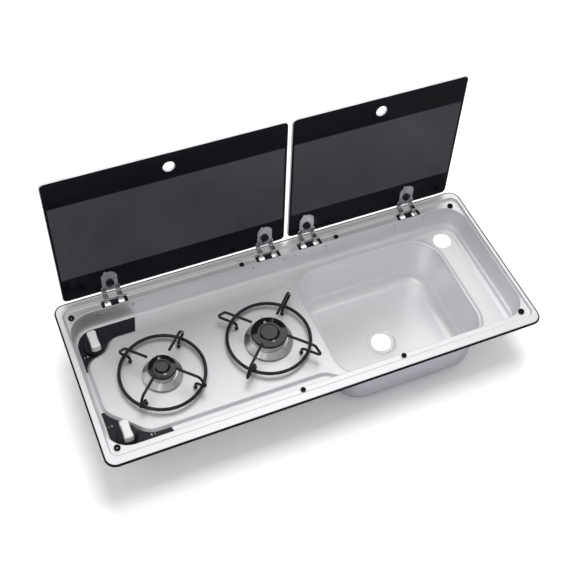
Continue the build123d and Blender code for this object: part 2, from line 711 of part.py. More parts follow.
def hinge_arm(x):
    """A gooseneck arm: back from the tongue, down through its slot and round to the eye on the pin."""
    back = PIVOT_Y - ARM_BACK
    low = PIVOT_Z - ARM_DROP
    eye_side = PIVOT_Y - (EYE_R + PIN_R) / 2
    points = [
        (x, LID_REAR_Y - ARM_WIDTH, STRAP_MID_Z),
        (x, back, STRAP_MID_Z),
        (x, back, low),
        (x, eye_side, low),
        (x, eye_side, PIVOT_Z),
    ]
    path = FilletPolyline(*points, radius=ARM_BEND_R)
    section = Plane(origin=path @ 0, x_dir=(1, 0, 0), z_dir=path % 0) * Rectangle(ARM_WIDTH, STRAP)
    half = ARM_WIDTH / 2
    return sweep(section, path=path) + bar_along_x(x - half, x + half, PIVOT_Y, PIVOT_Z, EYE_R)


def hinge_strap(x):
    """The steel strap of one hinge: the tongue under the glass and its two arms."""
    low, high = STRAP_MID_Z - STRAP / 2, STRAP_MID_Z + STRAP / 2
    strap = extrude(Pos(0, 0, low) * tongue_face(x), STRAP)
    arms = arm_xs(x)
    half = ARM_WIDTH / 2
    strap += block(arms[0] - half, arms[1] + half, LID_REAR_Y - ARM_WIDTH, LID_REAR_Y, low, high)
    tip = LID_REAR_Y - TONGUE_LENGTH
    tab_x = x + TONGUE_TAB_X
    half = TONGUE_TAB / 2
    strap += block(tab_x - half, tab_x + half, tip - TONGUE_TAB_RISE + 3, tip + 6, low, high)
    for arm_x in arms:
        strap += hinge_arm(arm_x)
    reach = cheek_inner()
    strap -= bar_along_x(x - reach, x + reach, PIVOT_Y, PIVOT_Z, PIN_R + PIN_PLAY)
    return opened(strap - rod(x, strap_screw_y(), STRAP_SCREW_R, low - 1, high + 1))


def strap_gasket(x):
    """The thin pad between the glass and the tongue."""
    pad = extrude(Pos(0, 0, LID_UNDERSIDE - STRAP_GASKET) * tongue_face(x), STRAP_GASKET)
    return opened(pad - rod(x, strap_screw_y(), STRAP_SCREW_R, LID_UNDERSIDE - 2, LID_UNDERSIDE + 1))


def strap_screw(x):
    """The large screw that clamps the glass between the tongue and the nut."""
    head_top = STRAP_MID_Z - STRAP / 2
    screw = rod(x, strap_screw_y(), STRAP_SCREW_HEAD_R, head_top - STRAP_SCREW_HEAD, head_top)
    return opened(screw + rod(x, strap_screw_y(), STRAP_SCREW_R, head_top, LID_UNDERSIDE + GLASS + 1))


def strap_nut(x):
    """The round nut on the outside of the glass."""
    top = LID_UNDERSIDE + GLASS
    nut = rod(x, strap_screw_y(), STRAP_NUT_R, top, top + STRAP_NUT)
    return opened(nut - rod(x, strap_screw_y(), STRAP_SCREW_R, top, top + 1))


# ---------------------------------------------------------------- gas controls
def panel(y, wall_y, crest_y, length, slant, reach_y):
    """A flat control panel that fills one left corner of the trough round its knob; its tip is cut aslant."""
    side = 1 if y > 0 else -1
    tip = ((KNOB_X + length, wall_y + side * PANEL_PAST_WALL), (KNOB_X + length - slant, crest_y))
    floor = TUB.grown(-TUB_FOOT_R - PANEL_PLAY).face()
    far = side * FAR
    corner = make_face(Polyline((-2 * FAR, reach_y), tip[1], tip[0],
                                (tip[0][0], far), (-2 * FAR, far), close=True))
    clear = offset(raised_face(), FLANK + PANEL_PLAY)
    # The corner's lower edge runs along the raised part, so the line to it is kept inside that part.
    inside = make_face(Polyline((-2 * FAR, reach_y), (-PLATEAU_LEFT + 20, reach_y), tip[1], tip[0],
                                (tip[0][0], far), (-2 * FAR, far), close=True))
    shape = (floor & (corner + inside)) - clear
    plate = extrude(Pos(0, 0, TROUGH) * shape, PANEL)
    return plate - rod(KNOB_X, y, NECK_R, TROUGH - 1, PANEL_TOP + 1)


def tap_top():
    return TROUGH - SHEET


def gas_tap(y):
    """A gas tap under the tray, with its neck up through the panel and a nut on it."""
    half = TAP_BLOCK / 2
    top = tap_top()
    body = block(KNOB_X - half, KNOB_X + half, y - half, y + half, top - TAP_BLOCK_HEIGHT, top)
    body += rod(KNOB_X, y, NECK_R, top, PANEL_TOP + TAP_NUT)
    nut = Pos(KNOB_X, y, PANEL_TOP) * extrude(RegularPolygon(TAP_NUT_R, 6), TAP_NUT)
    body += nut
    plug_top = top - PLUG_FROM_TOP
    body -= rod(KNOB_X, y, PLUG_R + RUNNING_PLAY, plug_top - PLUG_LENGTH, plug_top)
    return body - rod(KNOB_X, y, SPINDLE_R + NECK_PLAY, plug_top - 1, PANEL_TOP + TAP_NUT + 1)


def tap_plug(y):
    """The turning plug inside a tap, with a blind bore for the spindle."""
    top = tap_top() - PLUG_FROM_TOP - RUNNING_PLAY
    bottom = tap_top() - PLUG_FROM_TOP - PLUG_LENGTH + RUNNING_PLAY
    bore_bottom = top - SPINDLE_IN_PLUG - PUSH_TRAVEL - 1
    plug = rod(KNOB_X, y, PLUG_R, bottom, top)
    return plug - rod(KNOB_X, y, SPINDLE_R + RUNNING_PLAY, bore_bottom, top + 1)


def skirt_bottom():
    return PANEL_TOP + SKIRT_LIFT


def tap_spindle(y):
    """The spindle that the knob pushes and turns."""
    plug_top = tap_top() - PLUG_FROM_TOP - RUNNING_PLAY
    return rod(KNOB_X, y, SPINDLE_R, plug_top - SPINDLE_IN_PLUG, skirt_bottom() + SKIRT_HEIGHT - SKIRT_WALL)


def knob_skirt(y):
    """The round skirt of a knob: a hollow shell with a boss on the spindle."""
    bottom, height = skirt_bottom(), SKIRT_HEIGHT
    outside = [(0, 0), (SKIRT_R, 0), (SKIRT_R, SKIRT_EDGE), (SKIRT_TOP_R, height), (0, height)]
    hollow_r, roof = SKIRT_TOP_R - SKIRT_WALL, height - SKIRT_ROOF
    hollow = [(0, -1), (SKIRT_R - SKIRT_WALL, -1), (hollow_r, roof), (BOSS_R, roof),
              (BOSS_R, BOSS_LIFT), (0, BOSS_LIFT)]
    skirt = turned(outside, KNOB_X, y, bottom) - turned(hollow, KNOB_X, y, bottom)
    return skirt - rod(KNOB_X, y, SPINDLE_R, bottom - 1, bottom + height - SKIRT_WALL)


def knob_grip(y):
    """The bar grip on a knob, with its ends rounded in plan."""
    bottom = skirt_bottom() + SKIRT_HEIGHT
    half = GRIP_LENGTH / 2
    top = bottom + GRIP_HEIGHT
    bar = block(KNOB_X - GRIP_WIDTH / 2, KNOB_X + GRIP_WIDTH / 2, y - half, y + half, bottom, top)
    bar &= rod(KNOB_X, y, half, bottom, top)
    return fillet(bar.edges().group_by(Axis.Z)[-1], 1.2)


def gas_manifold():
    """The pipe between the two taps, with a collared inlet stub that the gas supply is joined to."""
    z = tap_top() - MANIFOLD_DROP
    half = TAP_BLOCK / 2
    collar = z - INLET_COLLAR_DROP
    pipe = bar_along_y(KNOB_X, FRONT_KNOB_Y + half, REAR_KNOB_Y - half, z, MANIFOLD_R)
    pipe += rod(KNOB_X, 0, INLET_COLLAR_R, collar, z)
    pipe += rod(KNOB_X, 0, INLET_R, collar - INLET_LENGTH, collar)
    bore = bar_along_y(KNOB_X, FRONT_KNOB_Y + half, REAR_KNOB_Y - half, z, MANIFOLD_R - SHEET)
    return pipe - bore - rod(KNOB_X, 0, INLET_R - SHEET, collar - INLET_LENGTH - 1, z)


def jet_bottom():
    return PLATEAU - SHEET - CUP_DEPTH - JET_BELOW_FLOOR


def feed_pipe(burner, y):
    """The pipe from a tap's side to its burner's jet."""
    level = jet_bottom() - FEED_DROP
    tap_side = KNOB_X + TAP_BLOCK / 2
    points = [(burner.x, BURNER_Y, jet_bottom()), (burner.x, BURNER_Y, level),
              (burner.x, y, level), (tap_side, y, level)]
    return tube_along(points, FEED_BEND_R, FEED_R)


# ---------------------------------------------------------------- burners
def burner_cup(burner):
    """The pressed cup that hangs under the plateau and holds the jet."""
    inner = burner.spigot_r + CUP_PLAY
    floor = -SHEET - CUP_DEPTH
    flange_r = burner.opening_r + CUP_FLANGE
    profile = [(inner, -SHEET), (flange_r, -SHEET), (flange_r, -SHEET - CUP),
               (inner + CUP, -SHEET - CUP), (inner + CUP, floor), (JET_R, floor), (JET_R, floor + CUP),
               (inner, floor + CUP)]
    cup = turned(profile, burner.x, BURNER_Y, PLATEAU)
    return cup - flame_probe(burner)


def burner_jet(burner):
    """The gas jet: a screw with a fine bore, through the cup's floor."""
    floor = PLATEAU - SHEET - CUP_DEPTH
    jet = rod(burner.x, BURNER_Y, JET_R, floor, floor + CUP + JET_ABOVE_FLOOR)
    jet += Pos(burner.x, BURNER_Y, jet_bottom()) * extrude(RegularPolygon(JET_HEX_R, 6), JET_BELOW_FLOOR)
    return jet - rod(burner.x, BURNER_Y, JET_BORE_R, jet_bottom() - 1, floor + CUP + JET_ABOVE_FLOOR + 1)


def burner_head(burner):
    """The burner body: a conical collar on the plateau, the ring with the flame ports and two screw bosses."""
    inner = burner.port_r - HEAD_WALL
    shoulder, top = burner.shoulder_height, burner.cap_bottom
    overhang = burner.base_r - COLLAR_OVERHANG
    profile = [(burner.spigot_r, 0), (overhang, 0), (overhang, COLLAR_GAP), (burner.base_r, COLLAR_GAP),
               (burner.base_r, COLLAR_GAP + COLLAR_EDGE), (burner.shoulder_r, shoulder), (burner.port_r, shoulder),
               (burner.port_r, top), (inner, top), (inner, shoulder - 2), (burner.spigot_r - SPIGOT, 1.5),
               (burner.spigot_r - SPIGOT, -SPIGOT_DROP), (burner.spigot_r, -SPIGOT_DROP)]
    head = turned(profile, burner.x, BURNER_Y, PLATEAU)
    boss_r = inner - burner.screw_offset + 1.5
    for side in (-1, 1):
        y = BURNER_Y + side * burner.screw_offset
        head += rod(burner.x, y, boss_r, PLATEAU + shoulder - 2, PLATEAU + top - CAP_SPIGOT - 0.3)
        head -= rod(burner.x, y, CAP_SCREW_R, PLATEAU + shoulder, PLATEAU + top)
    return head - flame_probe(burner)


def burner_cap(burner):
    """The enamelled cap, slightly dished, with a spigot down into the port ring."""
    low, high = burner.cap_bottom, burner.cap_top
    spigot_r = burner.port_r - HEAD_WALL - 0.3
    profile = [(0, low - CAP_SPIGOT), (spigot_r, low - CAP_SPIGOT), (spigot_r, low), (burner.cap_r, low),
               (burner.cap_r, high - CAP_CHAMFER), (burner.cap_r - CAP_CHAMFER, high), (burner.dish_r, high),
               (burner.dish_r - 3, high - CAP_DISH), (0, high - CAP_DISH)]
    cap = turned(profile, burner.x, BURNER_Y, PLATEAU)
    for side in (-1, 1):
        y = BURNER_Y + side * burner.screw_offset
        cap -= rod(burner.x, y, CAP_SCREW_R, PLATEAU + low - CAP_SPIGOT - 1, PLATEAU + high + 1)
    return cap


def cap_screws(burner):
    """The two screws that hold a cap down on its head."""
    high = PLATEAU + burner.cap_top
    screws = []
    for side in (-1, 1):
        y = BURNER_Y + side * burner.screw_offset
        shank = rod(burner.x, y, CAP_SCREW_R, PLATEAU + burner.shoulder_height, high)
        screws.append(shank + rod(burner.x, y, CAP_SCREW_HEAD_R, high, high + CAP_SCREW_HEAD))
    return screws


def flame_probe(burner):
    """The flame-failure probe, up through the cup and the collar to just behind the cap."""
    low = PLATEAU - SHEET - CUP_DEPTH - PROBE_BELOW_CUP
    high = PLATEAU + burner.cap_top - PROBE_TOP_BELOW_CAP
    return rod(burner.x, BURNER_Y + burner.cap_r + PROBE_FROM_CAP, PROBE_R, low, high)


# ---------------------------------------------------------------- pan supports
def radial(support, angle, radius, z):
    """A point at a bearing and radius from a support's middle."""
    direction = Vector(1, 0, 0).rotate(Axis.Z, angle)
    return (support.x + radius * direction.X, BURNER_Y + radius * direction.Y, z)


def finger_angles():
    return [45.0 + 90.0 * i for i in range(4)]


def foot_level():
    return PLATEAU + FOOT_R


def leg_level():
    """The height of the middle of a finger's lower leg."""
    return PLATEAU + LEG_HEIGHT


def support_ring(support):
    """The wire ring, which the fingers' lower legs are welded on."""
    return Pos(support.x, BURNER_Y, leg_level() - FINGER_WIRE_R - RING_WIRE_R) * Torus(RING_R, RING_WIRE_R)


def support_finger(support, angle):
    """One bent wire: up from its foot, out over the ring, up round the toe and back in over the burner."""
    top = PLATEAU + SUPPORT_HEIGHT - FINGER_WIRE_R
    points = [
        radial(support, angle, FOOT_CIRCLE_R, foot_level()),
        radial(support, angle, FOOT_CIRCLE_R, leg_level()),
        radial(support, angle, support.toe_r, leg_level()),
        radial(support, angle, support.bend_r, top),
        radial(support, angle, support.inner_r, top),
    ]
    bends = [FINGER_HEEL_BEND_R, FINGER_TOE_BEND_R, FINGER_TOP_BEND_R]
    return tube_along(points, bends, FINGER_WIRE_R) - support_foot(support, angle)


def support_foot(support, angle):
    """The ball foot at a finger's lower end."""
    x, y, _ = radial(support, angle, FOOT_CIRCLE_R, 0)
    return Pos(x, y, foot_level()) * Sphere(FOOT_R)


# ---------------------------------------------------------------- every node
def lid_nodes(side, lid_x, lid_hinges):
    """The nodes of one lid."""
    return {
        f"{side}_lid_glass": lid_glass(lid_x, lid_hinges),
        f"{side}_hinge_straps": group([hinge_strap(x) for x in lid_hinges]),
        f"{side}_strap_gaskets": group([strap_gasket(x) for x in lid_hinges]),
        f"{side}_strap_screws": group([strap_screw(x) for x in lid_hinges]),
        f"{side}_strap_nuts": group([strap_nut(x) for x in lid_hinges]),
    }


def knob_nodes(side, y):
    """The nodes of one knob and of the tap under it."""
    return {
        f"{side}_gas_tap": gas_tap(y),
        f"{side}_tap_plug": tap_plug(y),
        f"{side}_tap_spindle": tap_spindle(y),
        f"{side}_knob_skirt": knob_skirt(y),
        f"{side}_knob_grip": knob_grip(y),
    }


def burner_nodes(size, burner):
    """The nodes of one burner."""
    return {
        f"{size}_burner_cup": burner_cup(burner),
        f"{size}_burner_jet": burner_jet(burner),
        f"{size}_burner_head": burner_head(burner),
        f"{size}_burner_cap": burner_cap(burner),
        f"{size}_cap_screws": group(cap_screws(burner)),
    }


def support_nodes(side, support):
    """The nodes of one pan support."""
    return {
        f"{side}_support_ring": support_ring(support),
        f"{side}_support_fingers": group([support_finger(support, angle) for angle in finger_angles()]),
        f"{side}_support_feet": group([support_foot(support, angle) for angle in finger_angles()]),
    }


def all_nodes():
    """Every node by name."""
    nodes = {
        "tray_rim": tray_rim(),
        "tray_wall": tray_wall(),
        "wall_corners": wall_corners(),
        "hob_plate": hob_plate(),
        "sink_bowl": sink_bowl(),
        "rim_seal": rim_seal(),
        "corner_bushes": group([corner_bush(x, y) for x, y in bush_places()]),
        "ledge_buffers": group([ledge_buffer(x, y) for x, y in buffer_places()]),
        "hinge_slot_plates": slot_plates(),
        "hinge_brackets": group([hinge_bracket(x) for x in hinge_xs()]),
        "hinge_pins": group([hinge_pin(x) for x in hinge_xs()]),
        "hinge_rivets": group([hinge_rivet(x) for x in rivet_places()]),
        "rear_control_panel": panel(
            REAR_KNOB_Y, TUB_REAR, PLATEAU_REAR, REAR_PANEL_LENGTH, REAR_PANEL_SLANT, PANEL_REACH_Y
        ),
        "front_control_panel": panel(
            FRONT_KNOB_Y, -TUB_FRONT, -PLATEAU_FRONT, FRONT_PANEL_LENGTH, FRONT_PANEL_SLANT, PANEL_FRONT_REACH_Y
        ),
        "gas_manifold": gas_manifold(),
        "feed_pipes": group([feed_pipe(LARGE_BURNER, REAR_KNOB_Y), feed_pipe(SMALL_BURNER, FRONT_KNOB_Y)]),
        "flame_probes": group([flame_probe(SMALL_BURNER), flame_probe(LARGE_BURNER)]),
    }
    nodes.update(lid_nodes("left", LEFT_LID_X, LEFT_HINGE_XS))
    nodes.update(lid_nodes("right", RIGHT_LID_X, RIGHT_HINGE_XS))
    nodes.update(knob_nodes("rear", REAR_KNOB_Y))
    nodes.update(knob_nodes("front", FRONT_KNOB_Y))
    nodes.update(burner_nodes("small", SMALL_BURNER))
    nodes.update(burner_nodes("large", LARGE_BURNER))
    nodes.update(support_nodes("left", LEFT_SUPPORT))
    nodes.update(support_nodes("right", RIGHT_SUPPORT))
    return nodes


os.makedirs("parts", exist_ok=True)
for name, shape in all_nodes().items():
    export_step(shape, f"parts/{name}.step")
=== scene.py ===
import logging
import math
from dataclasses import dataclass
from enum import Enum

import bmesh
import bpy
import numpy as np
from mathutils import Matrix, Vector
from mathutils.geometry import delaunay_2d_cdt


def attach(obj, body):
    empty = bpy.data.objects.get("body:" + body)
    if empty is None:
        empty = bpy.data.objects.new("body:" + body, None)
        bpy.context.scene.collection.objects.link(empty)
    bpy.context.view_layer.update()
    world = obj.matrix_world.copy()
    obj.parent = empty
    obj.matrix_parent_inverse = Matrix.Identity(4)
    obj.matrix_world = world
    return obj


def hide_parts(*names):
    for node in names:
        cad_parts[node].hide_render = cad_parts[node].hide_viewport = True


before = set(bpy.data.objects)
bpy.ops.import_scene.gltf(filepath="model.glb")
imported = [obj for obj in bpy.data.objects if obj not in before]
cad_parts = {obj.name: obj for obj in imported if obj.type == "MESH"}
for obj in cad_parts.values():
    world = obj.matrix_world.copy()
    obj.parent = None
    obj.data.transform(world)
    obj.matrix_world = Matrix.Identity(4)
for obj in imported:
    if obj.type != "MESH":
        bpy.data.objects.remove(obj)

# A worktop unit with a two-burner gas hob, a sink bowl and two glass lids. Sizes are in millimetres, and every
# mesh is turned into metres when it is made. The frame is the CAD's: x to the right, y to the back, z up.

LOG = logging.getLogger("worktop_unit")
MM = 0.001
SAME_PLACE = 0.01
SHEET = 1.0

Span = tuple[float, float]
Point = tuple[float, float]
Loop = list[Point]
Corner = tuple[float, float, float]
Colour = tuple[float, float, float]
Place = tuple[float, float, float]
Socket = bpy.types.NodeSocket


class Slot(Enum):
    """The finish slots."""

    SHEET_STEEL = "sheet_steel"
    LID_GLASS = "lid_glass"
    HINGE_STEEL = "hinge_steel"
    PLATED_STEEL = "plated_steel"
    BLACK_RUBBER = "black_rubber"
    BLACK_PLASTIC = "black_plastic"
    SILVER_PLASTIC = "silver_plastic"
    BLACK_ENAMEL = "black_enamel"
    CAST_ALLOY = "cast_alloy"
    BRASS = "brass"


class Body(Enum):
    """The bodies that the pieces ride on."""

    UNIT = "unit"
    LEFT_LID = "left_lid"
    RIGHT_LID = "right_lid"
    REAR_KNOB = "rear_knob"
    FRONT_KNOB = "front_knob"


# ---------------------------------------------------------------- levels and main outlines
RIM_TOP = 5.0
LEDGE = -1.5
TROUGH = -50.5
PLATEAU = -44.5
BOWL_FLOOR = -163.5
FLANK = 5.035
LID_UNDERSIDE = 2.5
GLASS = 5.0
PIVOT = Vector((0.0, 171.5, -7.5))
OPEN_DEG = 94.5
BURNER_Y = -7.0
SMALL_BURNER_X = -290.0
LARGE_BURNER_X = -69.0
SMALL_OPENING_R = 33.0
LARGE_OPENING_R = 42.0
ARM_SIDE = 14.0
KNOB_X = -393.0
REAR_KNOB_Y = 101.5
FRONT_KNOB_Y = -107.5


@dataclass(frozen=True)
class Outline:
    """A rectangle in plan with round corners."""

    left: float
    right: float
    front: float
    rear: float
    corner: float
    arc_steps: int = 12
    x_steps: int = 28
    y_steps: int = 12

    def grown(self, by: float) -> "Outline":
        """The same outline moved out by a distance all round."""
        corner = max(self.corner + by, 0.4)
        return Outline(self.left - by, self.right + by, self.front - by, self.rear + by, corner,
                       self.arc_steps, self.x_steps, self.y_steps)

    def walk(self) -> list[tuple[float, float, float, float]]:
        """Goes round the outline against the clock.

        Returns:
            For each point its x, y and the x, y of the direction that faces out. Grown outlines give the same
            number of points, so they can be joined ring to ring.
        """
        r = self.corner
        centres = [(self.right - r, self.front + r, -90.0), (self.right - r, self.rear - r, 0.0),
                   (self.left + r, self.rear - r, 90.0), (self.left + r, self.front + r, 180.0)]
        found: list[tuple[float, float, float, float]] = []
        for index, (cx, cy, start) in enumerate(centres):
            for step in range(self.arc_steps + 1):
                angle = math.radians(start + 90.0 * step / self.arc_steps)
                nx, ny = math.cos(angle), math.sin(angle)
                found.append((cx + r * nx, cy + r * ny, nx, ny))
            nx, ny = found[-1][2:]
            ex, ey, end = centres[(index + 1) % 4]
            goal = (ex + r * math.cos(math.radians(end)), ey + r * math.sin(math.radians(end)))
            count = self.x_steps if abs(ny) > 0.5 else self.y_steps
            x, y = found[-1][:2]
            for step in range(1, count):
                share = step / count
                found.append((x + (goal[0] - x) * share, y + (goal[1] - y) * share, nx, ny))
        return found

    def loop(self) -> Loop:
        """The outline's points alone."""
        return [(x, y) for x, y, _, _ in self.walk()]


RIM = Outline(-450.0, 450.0, -185.0, 185.0, 22.0)
CUTOUT = Outline(-443.0, 443.0, -177.0, 177.0, 18.0)
RECESS = Outline(-435.0, 440.0, -164.5, 168.0, 15.0)
TUB = Outline(-432.0, 436.5, -150.5, 152.5, 45.0, x_steps=70, y_steps=22)
BOWL = Outline(37.5, 358.5, -148.0, 122.5, 62.0, x_steps=20, y_steps=15)

DRAIN: Point = (192.0, -24.0)

# The crest line of the raised part, with the radius of each of its corners, against the clock.
RAISED: list[Corner] = [
    (-416.0, 69.0, 24.0), (-416.0, -44.0, 40.0), (-350.0, -112.0, 40.0), (8.0, -112.0, 40.0),
    (66.0, -160.5, 2.0), (420.0, -160.5, 2.0), (420.0, 134.0, 34.0), (48.0, 134.0, 30.0),
    (18.0, 107.0, 30.0), (-356.0, 107.0, 26.0), (-376.0, 82.0, 20.0),
]


# ---------------------------------------------------------------- lines in the plane
def rounded(corners: list[Corner], closed: bool = True, step_deg: float = 7.5) -> Loop:
    """Draws a line through corners and rounds each corner.

    Args:
        corners: x, y and radius of each corner.
        closed: Whether the line comes back to its first corner.
        step_deg: The most that the line turns between two points of a corner.

    Returns:
        The points along the line.
    """
    points: Loop = []
    count = len(corners)
    for index, (x, y, r) in enumerate(corners):
        if not closed and index in (0, count - 1) or r <= 0:
            points.append((x, y))
            continue
        here = Vector((x, y))
        back = (Vector(corners[index - 1][:2]) - here).normalized()
        ahead = (Vector(corners[(index + 1) % count][:2]) - here).normalized()
        half = back.angle(ahead) / 2
        centre = here + (back + ahead).normalized() * (r / math.sin(half))
        start = here + back * (r / math.tan(half)) - centre
        sweep = math.pi - 2 * half
        turn = 1 if back.x * ahead.y - back.y * ahead.x < 0 else -1
        steps = max(2, math.ceil(math.degrees(sweep) / step_deg))
        for step in range(steps + 1):
            arm = Matrix.Rotation(turn * sweep * step / steps, 2) @ start
            points.append((centre.x + arm.x, centre.y + arm.y))
    return points


def moved_out(corners: list[Corner], by: float) -> list[Corner]:
    """Moves a closed cornered line out by a distance.

    Args:
        corners: x, y and radius of each corner, against the clock.
        by: The distance, below zero to move in.

    Returns:
        The new corners.
    """
    result: list[Corner] = []
    count = len(corners)
    for index, (x, y, r) in enumerate(corners):
        here = Vector((x, y))
        into = (here - Vector(corners[index - 1][:2])).normalized()
        out = (Vector(corners[(index + 1) % count][:2]) - here).normalized()
        bend = into.x * out.y - into.y * out.x
        side = Vector((into.y + out.y, -into.x - out.x)).normalized()
        reach = by / max(0.2, math.cos(into.angle(out) / 2))
        place = here + side * reach
        result.append((place.x, place.y, max(0.3, r + by if bend > 0 else r - by)))
    return result


def divided(loop: Loop, longest: float) -> Loop:
    """Adds points to a closed loop until no run is longer than a limit.

    Args:
        loop: The points of the loop.
        longest: The limit.

    Returns:
        The loop with its long runs divided.
    """
    result: Loop = []
    for (ax, ay), (bx, by) in zip(loop, loop[1:] + loop[:1]):
        parts = max(1, math.ceil(math.hypot(bx - ax, by - ay) / longest))
        result += [(ax + (bx - ax) * i / parts, ay + (by - ay) * i / parts) for i in range(parts)]
    return result


def circle(x: float, y: float, radius: float, steps: int = 48) -> Loop:
    """A circle against the clock."""
    turns = [2 * math.pi * i / steps for i in range(steps)]
    return [(x + radius * math.cos(t), y + radius * math.sin(t)) for t in turns]


def depth_inside(places: np.ndarray, loop: Loop) -> np.ndarray:
    """Measures how far each place is inside a closed loop.

    Args:
        places: An array of x, y rows.
        loop: The loop's points.

    Returns:
        For each place its distance to the loop, below zero outside.
    """
    line = np.array(loop)
    ahead = np.roll(line, -1, axis=0)
    run = ahead - line
    length2 = np.maximum((run**2).sum(1), 1e-12)
    depths = np.empty(len(places))
    for start in range(0, len(places), 2000):
        part = places[start:start + 2000, None, :]
        gap = part - line[None]
        share = np.clip((gap * run[None]).sum(2) / length2[None], 0, 1)
        near = np.sqrt(((gap - share[..., None] * run[None])**2).sum(2)).min(1)
        x, y = part[..., 0], part[..., 1]
        crosses = (line[None, :, 1] > y) != (ahead[None, :, 1] > y)
        rise = np.where(run[:, 1] == 0, 1e-12, run[:, 1])
        cut = line[None, :, 0] + (y - line[None, :, 1]) * (run[:, 0] / rise)[None]
        inside = (crosses & (x < cut)).sum(1) % 2 == 1
        depths[start:start + 2000] = np.where(inside, near, -near)
    return depths


def quarter_round() -> list[Point]:
    """Gives the shares of a quarter round's radius that it is still out and already down, step by step."""
    turns = [math.radians(a) for a in range(0, 91, 15)]
    return [(1 - math.sin(t), 1 - math.cos(t)) for t in turns]


def eased(share: np.ndarray) -> np.ndarray:
    """Runs smoothly from 0 to 1 as its argument does."""
    t = np.clip(share, 0.0, 1.0)
    return t * t * (3 - 2 * t)


